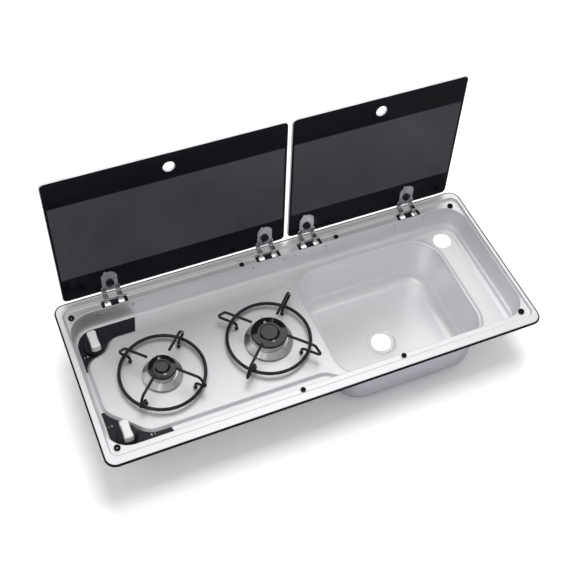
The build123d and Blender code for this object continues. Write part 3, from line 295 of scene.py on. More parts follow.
# ---------------------------------------------------------------- meshes
class Draft:
    """A mesh in the making: points in millimetres, and faces that each name a finish by number."""

    def __init__(self) -> None:
        """Starts with no points."""
        self.points: list[Place] = []
        self.faces: list[tuple[int, ...]] = []
        self.finishes: list[int] = []

    def point(self, x: float, y: float, z: float) -> int:
        """Adds a point and gives its number."""
        self.points.append((x, y, z))
        return len(self.points) - 1

    def face(self, corners: list[int], finish: int = 0) -> None:
        """Adds a face through numbered points."""
        self.faces.append(tuple(corners))
        self.finishes.append(finish)

    def ring(self, points: list[Place]) -> list[int]:
        """Adds several points and gives their numbers."""
        return [self.point(*p) for p in points]

    def join(self, first: list[int], second: list[int], finish: int = 0) -> None:
        """Joins two closed rings of the same length with four-sided faces.

        Args:
            first: The first ring's points.
            second: The second ring's points.
            finish: The faces' finish.
        """
        count = len(first)
        for i in range(count):
            j = (i + 1) % count
            self.face([first[i], first[j], second[j], second[i]], finish)

    def loft(self, rings: list[list[Place]], finish: int = 0, cap: tuple[bool, bool] = (False, False),
             seal: bool = False) -> None:
        """Joins rings one after another.

        Args:
            rings: The points of each ring.
            finish: The faces' finish.
            cap: Whether the first and the last ring are filled.
            seal: Whether the last ring joins the first.
        """
        made = [self.ring(r) for r in rings]
        for first, second in zip(made, made[1:]):
            self.join(first, second, finish)
        if seal:
            self.join(made[-1], made[0], finish)
        if cap[0]:
            self.face(made[0][::-1], finish)
        if cap[1]:
            self.face(made[-1], finish)

    def turned(self, profile: Loop, x: float, y: float, z: float, steps: int = 64, finish: int = 0) -> None:
        """Adds a round piece that stands on a place.

        Args:
            profile: Radius and height of each point, with the piece's inside on the left.
            x: The axis along x.
            y: The axis along y.
            z: The level that heights count from.
            steps: How many sides the piece has.
            finish: The faces' finish.
        """
        turns = [(math.cos(2 * math.pi * i / steps), math.sin(2 * math.pi * i / steps)) for i in range(steps)]
        before: list[int] | None = None
        for r, h in profile:
            ring = ([self.point(x, y, z + h)] if r < 1e-6
                    else self.ring([(x + r * c, y + r * s, z + h) for c, s in turns]))
            if before is not None:
                if len(before) == 1 and len(ring) > 1:
                    for i in range(steps):
                        self.face([before[0], ring[(i + 1) % steps], ring[i]], finish)
                elif len(ring) == 1 and len(before) > 1:
                    for i in range(steps):
                        self.face([before[i], before[(i + 1) % steps], ring[0]], finish)
                elif len(ring) > 1:
                    self.join(before, ring, finish)
            before = ring

    def tube(self, path: list[Vector], section: Loop) -> None:
        """Sweeps a section along a path and closes both ends.

        Args:
            path: The points of the path.
            section: The section, whose second axis starts as near to up as it can be.
        """
        ahead = (path[1] - path[0]).normalized()
        up = Vector((0, 0, 1)) if abs(ahead.z) < 0.9 else Vector((0, 1, 0))
        across = ahead.cross(up).normalized()
        rings = []
        for i, place in enumerate(path):
            run = (path[min(i + 1, len(path) - 1)] - path[max(i - 1, 0)]).normalized()
            across = (across - run * across.dot(run)).normalized()
            lift = across.cross(run)
            rings.append([tuple(place + across * a + lift * b) for a, b in section])
        self.loft(rings, cap=(True, True))

    def web(self, places: list[Place], faces: list[tuple[int, ...]], kept: np.ndarray) -> None:
        """Adds the faces of a triangulated area that are wanted.

        Args:
            places: The area's points.
            faces: The faces between them, by number.
            kept: Whether each face is wanted.
        """
        numbers = self.ring(places)
        for face, wanted in zip(faces, kept):
            if wanted:
                self.face([numbers[i] for i in face])

    def flat(self, outer: Loop, holes: list[Loop], level: float, down: bool = False) -> None:
        """Fills the space between an outline and its holes at one level.

        Args:
            outer: The outline.
            holes: The holes' outlines.
            level: The height.
            down: Whether the faces look down.
        """
        loops = [outer, *holes]
        points, faces = triangulated(loops)
        centres = np.array([np.mean([points[i] for i in f], axis=0) for f in faces])
        kept = depth_inside(centres, outer) > 0
        for hole in holes:
            kept &= depth_inside(centres, hole) < 0
        if down:
            faces = [f[::-1] for f in faces]
        self.web([(px, py, level) for px, py in points], faces, kept)

    def made(self, name: str, materials: list[bpy.types.Material]) -> bpy.types.Object:
        """Turns the draft into an object, with points that meet made one.

        Args:
            name: The object's name.
            materials: Its materials in the order of the faces' finish numbers.

        Returns:
            The object, smooth shaded, in metres.
        """
        mesh = bpy.data.meshes.new(name)
        mesh.from_pydata([(x * MM, y * MM, z * MM) for x, y, z in self.points], [], self.faces)
        for material in materials:
            mesh.materials.append(material)
        for polygon, finish in zip(mesh.polygons, self.finishes):
            polygon.material_index = finish
            polygon.use_smooth = True
        shape = bmesh.new()
        shape.from_mesh(mesh)
        bmesh.ops.remove_doubles(shape, verts=shape.verts, dist=SAME_PLACE * MM)
        bmesh.ops.dissolve_degenerate(shape, edges=shape.edges, dist=1e-7)
        shape.to_mesh(mesh)
        shape.free()
        thing = bpy.data.objects.new(name, mesh)
        bpy.context.scene.collection.objects.link(thing)
        return thing


def triangulated(loops: list[Loop], strands: list[Loop] | None = None) -> tuple[Loop, list[tuple[int, ...]]]:
    """Joins closed loops and open strands into triangles that follow them.

    Args:
        loops: Closed lines, which may cross.
        strands: Open lines, which may cross.

    Returns:
        The points and the triangles that look up.
    """
    points: list[Vector] = []
    edges: list[tuple[int, int]] = []
    for line, closed in [(l, True) for l in loops] + [(s, False) for s in strands or []]:
        first = len(points)
        points += [Vector(p) for p in line]
        count = len(line)
        edges += [(first + i, first + (i + 1) % count) for i in range(count if closed else count - 1)]
    made, _, faces, _, _, _ = delaunay_2d_cdt(points, edges, [], 0, 0.002)
    result = []
    for f in faces:
        a, b, c = (made[i] for i in f[:3])
        up = (b.x - a.x) * (c.y - a.y) - (b.y - a.y) * (c.x - a.x) > 0
        result.append(tuple(f) if up else tuple(reversed(f)))
    return [(p.x, p.y) for p in made], result


def arc(x: float, y: float, radius: float, start_deg: float, end_deg: float, steps: int = 6) -> Loop:
    """Points along an arc."""
    turns = [math.radians(start_deg + (end_deg - start_deg) * i / steps) for i in range(steps + 1)]
    return [(x + radius * math.cos(t), y + radius * math.sin(t)) for t in turns]


def section_of_wire(radius: float, steps: int = 16) -> Loop:
    """The round section of a wire."""
    return circle(0.0, 0.0, radius, steps)


def section_of_strip(width: float, thickness: float, edge: float) -> Loop:
    """The section of a flat strip with rounded edges."""
    w, t = width / 2, thickness / 2
    return rounded([(-w, -t, edge), (w, -t, edge), (w, t, edge), (-w, t, edge)], step_deg=30)


def path_3d(points: list[Vector], radii: list[float], step_deg: float = 10.0) -> list[Vector]:
    """Rounds the inner corners of a line in space.

    Args:
        points: The line's corners.
        radii: The radius at each inner corner.
        step_deg: The most that the line turns between two points.

    Returns:
        The points of the rounded line.
    """
    result = [points[0]]
    for here, before, after, r in zip(points[1:-1], points, points[2:], radii):
        back, ahead = (before - here).normalized(), (after - here).normalized()
        half = back.angle(ahead) / 2
        centre = here + (back + ahead).normalized() * (r / math.sin(half))
        axis = back.cross(ahead).normalized()
        start = here + back * (r / math.tan(half)) - centre
        sweep = math.pi - 2 * half
        steps = max(2, math.ceil(math.degrees(sweep) / step_deg))
        for step in range(steps + 1):
            result.append(centre + Matrix.Rotation(-sweep * step / steps, 3, axis) @ start)
    result.append(points[-1])
    return result


def lid_opening() -> Matrix:
    """The turn that takes a piece drawn on a closed lid to the open rest pose, in metres."""
    pivot = Matrix.Translation(PIVOT * MM)
    return pivot @ Matrix.Rotation(math.radians(-OPEN_DEG), 4, "X") @ pivot.inverted()


def shade_evenly(thing: bpy.types.Object) -> None:
    """Lets large faces set the shading, so that flats stay flat beside rounded edges."""
    even = thing.modifiers.new("even shading", "WEIGHTED_NORMAL")
    even.weight = 60
    even.keep_sharp = True


def thicken(thing: bpy.types.Object, other_side: int = 0) -> None:
    """Gives a sheet its thickness on the side away from its faces.

    Args:
        thing: The sheet.
        other_side: How many finishes further on the finish of its other side is.
    """
    solid = thing.modifiers.new("sheet", "SOLIDIFY")
    solid.thickness = SHEET * MM
    solid.offset = -1.0
    solid.use_even_offset = False
    solid.material_offset = other_side


# ---------------------------------------------------------------- finishes
class Board:
    """The node board of one material, with its shader."""

    def __init__(self, name: str) -> None:
        """Starts a material with the principled shader."""
        self.material = bpy.data.materials.new(name)
        self.material.use_nodes = True
        self.tree = self.material.node_tree
        self.shader = self.tree.nodes["Principled BSDF"]

    def add(self, kind: str, **settings: object) -> bpy.types.Node:
        """Adds a node and sets its own settings."""
        node = self.tree.nodes.new(kind)
        for key, value in settings.items():
            setattr(node, key, value)
        return node

    def link(self, output: Socket, socket: Socket) -> None:
        """Joins two sockets."""
        self.tree.links.new(output, socket)

    def place(self, stretch: Place = (1.0, 1.0, 1.0)) -> Socket:
        """Gives the place on the piece in metres.

        Args:
            stretch: The factor along each axis.

        Returns:
            The place's socket.
        """
        source = self.add("ShaderNodeTexCoord")
        if stretch == (1.0, 1.0, 1.0):
            return source.outputs["Object"]
        mapping = self.add("ShaderNodeMapping")
        mapping.inputs["Scale"].default_value = stretch
        self.link(source.outputs["Object"], mapping.inputs["Vector"])
        return mapping.outputs["Vector"]

    def noise(self, place: Socket, scale: float, detail: float = 3.0, rough: float = 0.5) -> Socket:
        """Adds cloudy noise.

        Args:
            place: Where on the piece.
            scale: The number of features per metre.
            detail: How many finer layers it has.
            rough: How strong the finer layers are.

        Returns:
            The noise's socket.
        """
        node = self.add("ShaderNodeTexNoise")
        node.inputs["Scale"].default_value = scale
        node.inputs["Detail"].default_value = detail
        node.inputs["Roughness"].default_value = rough
        self.link(place, node.inputs["Vector"])
        return node.outputs["Fac"]

    def spread(self, value: Socket, source: Span, target: Span) -> Socket:
        """Carries a value from one range to another.

        Args:
            value: The value.
            source: The range it comes from.
            target: The range it goes to.

        Returns:
            The new value's socket.
        """
        node = self.add("ShaderNodeMapRange")
        for name, number in zip(("From Min", "From Max", "To Min", "To Max"), (*source, *target)):
            node.inputs[name].default_value = number
        self.link(value, node.inputs["Value"])
        return node.outputs["Result"]

    def sum(self, operation: str, first: Socket, second: Socket | float) -> Socket:
        """Works out a sum of two values.

        Args:
            operation: The sort of sum.
            first: The first value.
            second: The second value, or a number.

        Returns:
            The result's socket.
        """
        node = self.add("ShaderNodeMath", operation=operation)
        self.link(first, node.inputs[0])
        if isinstance(second, (int, float)):
            node.inputs[1].default_value = second
        else:
            self.link(second, node.inputs[1])
        return node.outputs[0]

    def ramp(self, value: Socket, stops: list[tuple[float, Colour]]) -> Socket:
        """Turns a value into a colour.

        Args:
            value: The value.
            stops: The place and colour of each stop.

        Returns:
            The colour's socket.
        """
        node = self.add("ShaderNodeValToRGB")
        elements = node.color_ramp.elements
        while len(elements) < len(stops):
            elements.new(0.5)
        for element, (position, colour) in zip(elements, stops):
            element.position = position
            element.color = (*colour, 1.0)
        self.link(value, node.inputs["Fac"])
        return node.outputs["Color"]

    def mixed(self, factor: Socket, first: Socket | Colour, second: Socket | Colour) -> Socket:
        """Mixes two colours.

        Args:
            factor: The share of the second colour.
            first: The first colour.
            second: The second colour.

        Returns:
            The colour's socket.
        """
        node = self.add("ShaderNodeMix", data_type="RGBA")
        self.link(factor, node.inputs["Factor"])
        for name, colour in (("A", first), ("B", second)):
            socket = next(s for s in node.inputs if s.name == name and s.type == "RGBA")
            if isinstance(colour, tuple):
                socket.default_value = (*colour, 1.0)
            else:
                self.link(colour, socket)
        return next(s for s in node.outputs if s.type == "RGBA")

    def bump(self, height: Socket, strength: float, depth: float) -> None:
        """Lets a height dent the surface, on top of what dents it already.

        Args:
            height: The height, from 0 to 1.
            strength: How strongly it dents.
            depth: The depth of a full dent.
        """
        node = self.add("ShaderNodeBump")
        node.inputs["Strength"].default_value = strength
        node.inputs["Distance"].default_value = depth * MM
        self.link(height, node.inputs["Height"])
        normal = self.shader.inputs["Normal"]
        if normal.links:
            self.link(normal.links[0].from_socket, node.inputs["Normal"])
        self.link(node.outputs["Normal"], normal)

    def tint(self, colour: Socket) -> None:
        """Gives the surface its colour."""
        self.link(colour, self.shader.inputs["Base Color"])

    def roughen(self, value: Socket) -> None:
        """Gives the surface its roughness."""
        self.link(value, self.shader.inputs["Roughness"])

    def constant(self, **values: float | tuple[float, ...]) -> None:
        """Sets numbers and colours on the shader's own sockets."""
        for key, value in values.items():
            self.shader.inputs[key.replace("_", " ")].default_value = value


@dataclass(frozen=True)
class SheetSteel:
    """Pressed stainless sheet with a fine satin grain, faint clouds and a few hair scratches."""

    name: str
    light: Colour = (0.89, 0.895, 0.91)
    dark: Colour = (0.85, 0.855, 0.87)
    roughness: Span = (0.43, 0.51)
    grain: Place = (1.0, 14.0, 14.0)
    metallic: float = 0.76
    slot: Slot = Slot.SHEET_STEEL

    def made(self) -> bpy.types.Material:
        """Builds the material.

        Returns:
            The material with its nodes.
        """
        board = Board(self.name)
        place = board.place()
        cloud = board.noise(place, 9.0, 4.0, 0.55)
        grain = board.noise(board.place(self.grain), 160.0, 4.0, 0.6)
        scratch = board.noise(board.place((0.6, 30.0, 6.0)), 70.0, 2.0, 0.7)
        colour = board.ramp(cloud, [(0.3, self.dark), (0.7, self.light)])
        board.tint(colour)
        low, high = self.roughness
        rough = board.sum("ADD", board.spread(grain, (0.3, 0.7), (low, high)),
                          board.spread(cloud, (0.35, 0.75), (-0.015, 0.02)))
        rough = board.sum("ADD", rough, board.spread(scratch, (0.66, 0.74), (0.0, 0.04)))
        board.roughen(rough)
        board.bump(board.noise(place, 2600.0, 2.0), 0.06, 0.01)
        board.bump(grain, 0.05, 0.02)
        board.constant(Metallic=self.metallic)
        return board.material


@dataclass(frozen=True)
class Plating:
    """Bright plated steel, with stains and fine polishing marks."""

    name: str
    light: Colour = (0.74, 0.74, 0.75)
    dark: Colour = (0.50, 0.50, 0.52)
    roughness: Span = (0.14, 0.26)
    slot: Slot = Slot.PLATED_STEEL

    def made(self) -> bpy.types.Material:
        """Builds the material.

        Returns:
            The material with its nodes.
        """
        board = Board(self.name)
        place = board.place()
        stain = board.noise(place, 60.0, 5.0, 0.6)
        marks = board.noise(board.place((1.0, 9.0, 9.0)), 420.0, 3.0, 0.6)
        tone = board.ramp(stain, [(0.32, self.dark), (0.62, self.light)])
        board.tint(tone)
        rough = board.sum("ADD", board.spread(stain, (0.3, 0.7), self.roughness),
                          board.spread(marks, (0.4, 0.7), (0.0, 0.06)))
        board.roughen(rough)
        board.bump(marks, 0.18, 0.02)
        board.constant(Metallic=1.0)
        return board.material


@dataclass(frozen=True)
class CastMetal:
    """Cast or turned metal with a grainy skin and faint stains."""

    name: str
    light: Colour
    dark: Colour
    roughness: Span
    slot: Slot

    def made(self) -> bpy.types.Material:
        """Builds the material.

        Returns:
            The material with its nodes.
        """
        board = Board(self.name)
        place = board.place()
        skin = board.noise(place, 1300.0, 4.0, 0.6)
        stain = board.noise(place, 55.0, 4.0)
        tone = board.ramp(stain, [(0.3, self.dark), (0.65, self.light)])
        board.tint(tone)
        board.roughen(board.spread(skin, (0.3, 0.7), self.roughness))
        board.bump(skin, 0.30, 0.03)
        board.constant(Metallic=1.0)
        return board.material


@dataclass(frozen=True)
class Enamel:
    """Black stove enamel with a soft orange peel, worn to grey along its edges."""

    name: str
    colour: Colour = (0.012, 0.012, 0.014)
    worn: Colour = (0.10, 0.10, 0.105)
    roughness: Span = (0.10, 0.22)
    ior: float = 1.5
    slot: Slot = Slot.BLACK_ENAMEL

    def made(self) -> bpy.types.Material:
        """Builds the material.

        Returns:
            The material with its nodes.
        """
        board = Board(self.name)
        place = board.place()
        peel = board.noise(place, 520.0, 2.0)
        dust = board.noise(place, 90.0, 5.0, 0.6)
        edge = board.spread(board.add("ShaderNodeNewGeometry").outputs["Pointiness"], (0.53, 0.60), (0.0, 1.0))
        wear = board.sum("MULTIPLY", edge, board.spread(dust, (0.45, 0.65), (0.0, 1.0)))
        tone = board.ramp(dust, [(0.35, self.colour), (0.75, tuple(c * 2.2 for c in self.colour))])
        board.tint(board.mixed(wear, tone, self.worn))
        board.roughen(board.spread(dust, (0.3, 0.75), self.roughness))
        board.bump(peel, 0.06, 0.02)
        board.constant(IOR=self.ior)
        return board.material


@dataclass(frozen=True)
class Rubber:
    """Black rubber with a fine matt skin and a little dust."""

    name: str
    colour: Colour = (0.005, 0.005, 0.007)
    dusty: Colour = (0.014, 0.014, 0.017)
    slot: Slot = Slot.BLACK_RUBBER

    def made(self) -> bpy.types.Material:
        """Builds the material.

        Returns:
            The material with its nodes.
        """
        board = Board(self.name)
        place = board.place()
        skin = board.noise(place, 2200.0, 3.0)
        dust = board.noise(place, 45.0, 5.0, 0.6)
        tone = board.ramp(dust, [(0.4, self.colour), (0.72, self.dusty)])
        board.tint(tone)
        board.roughen(board.spread(dust, (0.3, 0.7), (0.52, 0.74)))
        board.bump(skin, 0.25, 0.04)
        board.constant(Specular_IOR_Level=0.12)
        return board.material


@dataclass(frozen=True)
class MouldedPlastic:
    """Moulded plastic with a spark-eroded grain and faint patches of wear."""

    name: str
    slot: Slot
    colour: Colour
    variation: Colour
    roughness: Span = (0.30, 0.45)
    metallic: float = 0.0
    grain: float = 0.25
    shine: float = 0.5

    def made(self) -> bpy.types.Material:
        """Builds the material.

        Returns:
            The material with its nodes.
        """
        board = Board(self.name)
        place = board.place()
        grain = board.noise(place, 1700.0, 3.0, 0.6)
        wear = board.noise(place, 70.0, 4.0)
        tone = board.ramp(wear, [(0.35, self.colour), (0.7, self.variation)])
        board.tint(tone)
        board.roughen(board.spread(wear, (0.3, 0.7), self.roughness))
        board.bump(grain, self.grain, 0.03)
        board.constant(Metallic=self.metallic, Specular_IOR_Level=self.shine)
        return board.material


@dataclass(frozen=True)
class PrintedGlass:
    """Dark lid glass: a black printed border round a field of fine grey dots."""

    name: str
    middle_x: float
    half_x: float
    field_low: float
    field_high: float
    slot: Slot = Slot.LID_GLASS
    dot_pitch: float = 1.4

    def made(self) -> bpy.types.Material:
        """Builds the material.

        Returns:
            The material with its nodes.
        """
        board = Board(self.name)
        place = board.place()
        axes = board.add("ShaderNodeSeparateXYZ")
        board.link(place, axes.inputs["Vector"])
        aside = board.sum("ABSOLUTE", board.sum("SUBTRACT", axes.outputs["X"], self.middle_x * MM), 0.0)
        inside_x = board.sum("LESS_THAN", aside, self.half_x * MM)
        above = board.sum("GREATER_THAN", axes.outputs["Y"], self.field_low * MM)
        below = board.sum("LESS_THAN", axes.outputs["Y"], self.field_high * MM)
        field = board.sum("MULTIPLY", inside_x, board.sum("MULTIPLY", above, below))
        dots = board.add("ShaderNodeTexVoronoi", voronoi_dimensions="2D", feature="F1")
        dots.inputs["Scale"].default_value = 1.0 / (self.dot_pitch * MM)
        dots.inputs["Randomness"].default_value = 0.0
        board.link(place, dots.inputs["Vector"])
        dot = board.spread(dots.outputs["Distance"], (0.30, 0.42), (1.0, 0.0))
        haze = board.noise(place, 5.0, 4.0)
        ground = board.ramp(haze, [(0.3, (0.0042, 0.0042, 0.0068)), (0.7, (0.0070, 0.0070, 0.0115))])
        ink = board.ramp(haze, [(0.3, (0.135, 0.137, 0.152)), (0.7, (0.190, 0.192, 0.212))])
        screen = board.mixed(dot, ground, ink)
        board.tint(board.mixed(field, ground, screen))
        smear = board.noise(place, 26.0, 5.0, 0.6)
        board.roughen(board.spread(smear, (0.35, 0.75), (0.07, 0.16)))
        board.bump(board.noise(place, 38.0, 2.0), 0.05, 0.02)
        board.constant(Specular_IOR_Level=0.06)
        return board.material


@dataclass(frozen=True)
class GlassEdge:
    """The ground edge of the lid glass, pale green-grey and slightly frosted."""

    name: str
    slot: Slot = Slot.LID_GLASS

    def made(self) -> bpy.types.Material:
        """Builds the material.

        Returns:
            The material with its nodes.
        """
        board = Board(self.name)
        place = board.place()
        frost = board.noise(place, 900.0, 4.0, 0.6)
        tint = board.ramp(board.noise(place, 30.0, 3.0), [(0.3, (0.56, 0.60, 0.60)), (0.7, (0.72, 0.76, 0.76))])
        board.tint(tint)
        board.roughen(board.spread(frost, (0.3, 0.7), (0.25, 0.45)))
        board.bump(frost, 0.2, 0.02)
        return board.material


TRAY_STEEL = SheetSteel("tray_steel")
BOWL_STEEL = SheetSteel("bowl_steel", light=(0.93, 0.935, 0.95), dark=(0.89, 0.895, 0.91),
                        roughness=(0.34, 0.41), grain=(5.0, 5.0, 1.0), metallic=0.68)
# A darker, bluer copy of the bowl steel for the bowl's outside: painted shade under the rim.
BOWL_OUTSIDE_SHADED = SheetSteel("bowl_outside_shaded", light=(0.72, 0.72, 0.78), dark=(0.66, 0.66, 0.72),
                          roughness=(0.42, 0.50), grain=(5.0, 5.0, 1.0))
HINGE_STEEL = Plating("hinge_steel", roughness=(0.16, 0.30), slot=Slot.HINGE_STEEL)
TONGUE_STEEL = Plating("tongue_steel", light=(0.66, 0.66, 0.69), dark=(0.34, 0.34, 0.37),
                       roughness=(0.24, 0.38), slot=Slot.HINGE_STEEL)
BRIGHT_PLATING = Plating("bright_plating", light=(0.82, 0.82, 0.83), dark=(0.66, 0.66, 0.68))
RUBBER = Rubber("black_rubber")
ENAMEL_CAP = Enamel("cap_enamel", colour=(0.005, 0.005, 0.006), roughness=(0.06, 0.10), ior=1.5)
ENAMEL_WIRE = Enamel("wire_enamel", colour=(0.007, 0.007, 0.009), roughness=(0.10, 0.20), ior=1.4)
BLACK_PLASTIC = MouldedPlastic("black_plastic", Slot.BLACK_PLASTIC, (0.008, 0.008, 0.011),
                               (0.014, 0.014, 0.018), shine=0.28)
SILVER_PLASTIC = MouldedPlastic("silver_plastic", Slot.SILVER_PLASTIC, (0.74, 0.74, 0.75), (0.80, 0.80, 0.81),
                                roughness=(0.28, 0.38), metallic=0.25, grain=0.12)
MARK_PAINT = MouldedPlastic("mark_paint", Slot.BLACK_PLASTIC, (0.42, 0.42, 0.43), (0.52, 0.52, 0.53),
                            roughness=(0.45, 0.6), grain=0.1)
BURNER_ALLOY = CastMetal("burner_alloy", (0.80, 0.80, 0.81), (0.66, 0.66, 0.68), (0.24, 0.36), Slot.CAST_ALLOY)
# Near-black alloy for the undercut below each burner's skirt: painted shade in the gap beneath the skirt.
SHADE_BLACK_ALLOY = CastMetal("shade_black_alloy", (0.10, 0.10, 0.105), (0.05, 0.05, 0.055), (0.5, 0.65),
                          Slot.CAST_ALLOY)
TAP_ALLOY = CastMetal("tap_alloy", (0.56, 0.56, 0.57), (0.42, 0.42, 0.44), (0.38, 0.52), Slot.CAST_ALLOY)
BRASS = CastMetal("brass", (0.78, 0.60, 0.30), (0.62, 0.44, 0.20), (0.26, 0.40), Slot.BRASS)
SCREW_BLACK = MouldedPlastic("screw_black", Slot.BLACK_PLASTIC, (0.006, 0.006, 0.008), (0.012, 0.012, 0.015),
                             roughness=(0.22, 0.34), grain=0.1, shine=0.2)

Finish = SheetSteel | Plating | CastMetal | Enamel | Rubber | MouldedPlastic | PrintedGlass | GlassEdge


class FinishShelf:
    """Makes each finish once and hands it out."""

    def __init__(self) -> None:
        """Starts with an empty shelf."""
        self.ready: dict[str, bpy.types.Material] = {}

    def get(self, finish: Finish) -> bpy.types.Material:
        """The material of a finish."""
        if finish.name not in self.ready:
            self.ready[finish.name] = finish.made()
        return self.ready[finish.name]


SHELF = FinishShelf()


def settle(thing: bpy.types.Object, body: Body, slot: Slot, *nodes: str) -> None:
    """Puts a finished piece on its body.

    Args:
        thing: The piece.
        body: What it rides on.
        slot: Not used.
        *nodes: The CAD nodes that it stands for.
    """
    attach(thing, body.value)
    if nodes:
        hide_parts(*nodes)
    LOG.info("piece %s on %s, %d faces", thing.name, body.value, len(thing.data.polygons))


def fit(draft: Draft, name: str, finishes: tuple[Finish, ...], body: Body, *nodes: str,
        even: bool = True) -> None:
    """Makes a piece that needs no more work, in its finishes, and puts it on its body.

    Args:
        draft: The piece's mesh.
        name: The piece's name.
        finishes: Its finishes.
        body: What it rides on.
        *nodes: The CAD nodes that it stands for.
        even: Whether its faces are shaded evenly across soft edges.
    """
    thing = draft.made(name, [SHELF.get(finish) for finish in finishes])
    if even:
        shade_evenly(thing)
    settle(thing, body, finishes[0].slot, *nodes)


def keep(node: str, finish: Finish, edge: float = 0.25) -> None:
    """Keeps a CAD node and gives it a finish and eased edges.

    Args:
        node: The node's name.
        finish: Its finish.
        edge: How far its sharp edges are eased.
    """
    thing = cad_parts[node]
    material = SHELF.get(finish)
    if not thing.data.materials:
        thing.data.materials.append(material)
    for index in range(len(thing.material_slots)):
        thing.material_slots[index].material = material
    weld = thing.modifiers.new("weld", "WELD")
    weld.merge_threshold = 0.002 * MM
    if edge > 0:
        bevel = thing.modifiers.new("eased edges", "BEVEL")
        bevel.width = edge * MM
        bevel.segments = 2
        bevel.limit_method = "ANGLE"
        bevel.angle_limit = math.radians(38)
        bevel.harden_normals = False
    shade_evenly(thing)
    LOG.info("kept %s with %s", node, finish.name)


# ---------------------------------------------------------------- pressed tray
@dataclass
class Tray:
    """The pressed steel sheet: rim, lid recess, tub and the raised hob and sink surround."""

    rim_inset: float = 3.0
    rim_edge: float = 1.0
    riser_round: float = 2.4
    tub_lip: float = 1.5
    tub_lip_drop: float = 3.0
    foot: float = 8.0
    foot_beside_sink: float = 1.0
    foot_beside_drainer: float = 2.5
    crest_softness: float = 1.1
    drainer_depth: float = 2.0
    drainer_bead: float = 8.5
    drainer_start: float = 332.5
    bowl_lip: float = 4.5
    bowl_lip_front: float = 1.5
    tap_hole: Corner = (384.0, 101.0, 19.5)
    burner_holes: tuple[Corner, ...] = ((SMALL_BURNER_X, BURNER_Y, SMALL_OPENING_R),
                                        (LARGE_BURNER_X, BURNER_Y, LARGE_OPENING_R))
    knob_holes: tuple[Corner, ...] = ((KNOB_X, REAR_KNOB_Y, 7.0), (KNOB_X, FRONT_KNOB_Y, 7.0))
    slot_front: float = 154.2
    slot_rear: float = 165.2
    slot_half: float = 6.0

    def __post_init__(self) -> None:
        """Draws the lines that the heights are measured from."""
        self.raised_line = divided(rounded(RAISED), 30.0)
        self.tub_line = TUB.loop()
        self.bowl_line = BOWL.loop()
        self.mouth = self.bowl_mouth()

    def lip_at(self, y: float) -> float:
        """The radius of the bowl's lip, smaller along the front wall."""
        share = float(eased(np.array((y + 146.0) / 26.0)))
        return self.bowl_lip_front + (self.bowl_lip - self.bowl_lip_front) * share

    def bowl_mouth(self) -> Loop:
        """The line where the plateau starts to roll into the bowl."""
        return [(x + nx * self.lip_at(y), y + ny * self.lip_at(y)) for x, y, nx, ny in BOWL.walk()]

    def heights(self, places: np.ndarray) -> np.ndarray:
        """Works out the level of the tub's floor.

        Args:
            places: An array of x, y rows.

        Returns:
            The height at each place.
        """
        x = places[:, 0]
        crest = depth_inside(places, self.raised_line)
        wall = np.maximum(depth_inside(places, self.tub_line), 0.0)
        beyond_bowl = -depth_inside(places, self.bowl_line)
        soft = self.crest_softness
        raised = eased((crest + FLANK + soft) / (FLANK + 2 * soft))
        edge = self.drainer_bead - 3.5
        dish = (eased((crest - edge) / 7.0) * eased((beyond_bowl - edge) / 7.0)
                * eased((x - self.drainer_start + 8.0) / 16.0))
        widening = self.foot_beside_drainer - self.foot_beside_sink
        beside = self.foot_beside_sink + widening * eased((x - 352) / 20)
        foot = self.foot + (beside - self.foot) * raised
        short = np.maximum(foot - wall, 0.0)
        curve = foot - np.sqrt(np.maximum(foot**2 - short**2, 0.0))
        return TROUGH + (PLATEAU - TROUGH) * raised - self.drainer_depth * dish + curve

    def floor(self, draft: Draft) -> None:
        """Adds the tub's floor with the raised part, the drainer's dish and every hole.

        Args:
            draft: The mesh that it is added to.
        """
        rings = [TUB.grown(-d).loop() for d in (0.0, 0.15, 0.6, 1.3, 2.3, 3.6, 5.2, 6.8, 8.0, 9.5)]
        reach = FLANK + self.crest_softness
        steps = [self.crest_softness - (reach + self.crest_softness) * i / 9 for i in range(10)]
        crests = [divided(rounded(moved_out(RAISED, -s)), 14.0) for s in steps + [self.crest_softness + 1.5]]
        across = (-3.5, -2, -0.7, 0.7, 2, 3.5)
        beads = [divided(rounded(moved_out(RAISED, -self.drainer_bead - s)), 14.0) for s in across]
        around = [BOWL.grown(self.drainer_bead + s).loop() for s in (*across, 5.0)]
        strands = []
        for line in beads + around:
            run: Loop = []
            for p in line + line[:1]:
                if p[0] > self.drainer_start - 14:
                    run.append(p)
                elif run:
                    strands.append(run)
                    run = []
            if run:
                strands.append(run)
        for i in range(8):
            x = self.drainer_start - 8 + 16 * i / 7
            strands.append([(x, 100.0), (x, 134.0)])
        mouth_support = [(x + nx * (self.lip_at(y) + 0.7), y + ny * (self.lip_at(y) + 0.7))
                         for x, y, nx, ny in BOWL.walk()]
        holes = [circle(*c, steps=64) for c in (self.tap_hole, *self.burner_holes, *self.knob_holes)]
        around_holes = [circle(c[0], c[1], c[2] + 1.2, steps=64) for c in (self.tap_hole, *self.burner_holes)]
        lines = rings + crests + [self.mouth, mouth_support] + holes + around_holes
        points, faces = triangulated(lines, [s for s in strands if len(s) > 1])
        places = np.array(points)
        z = self.heights(places)
        centres = places[np.array([f[:3] for f in faces])].mean(axis=1)
        keep_face = depth_inside(centres, self.tub_line) > 0
        keep_face &= depth_inside(centres, self.mouth) < 0
        for hole in holes:
            keep_face &= depth_inside(centres, hole) < 0
        draft.web([(px, py, pz) for (px, py), pz in zip(points, z)], faces, keep_face)

    def slots(self) -> list[Loop]:
        """Draws the slots for the hinge arms.

        Returns:
            The outline of each slot.
        """
        found = []
        for hinge_x in HINGE_XS:
            for x in (hinge_x - ARM_SIDE, hinge_x + ARM_SIDE):
                low, high = x - self.slot_half, x + self.slot_half
                found.append(rounded([(low, self.slot_front, 1.0), (high, self.slot_front, 1.0),
                                      (high, self.slot_rear, 1.0), (low, self.slot_rear, 1.0)], step_deg=30))
        return found

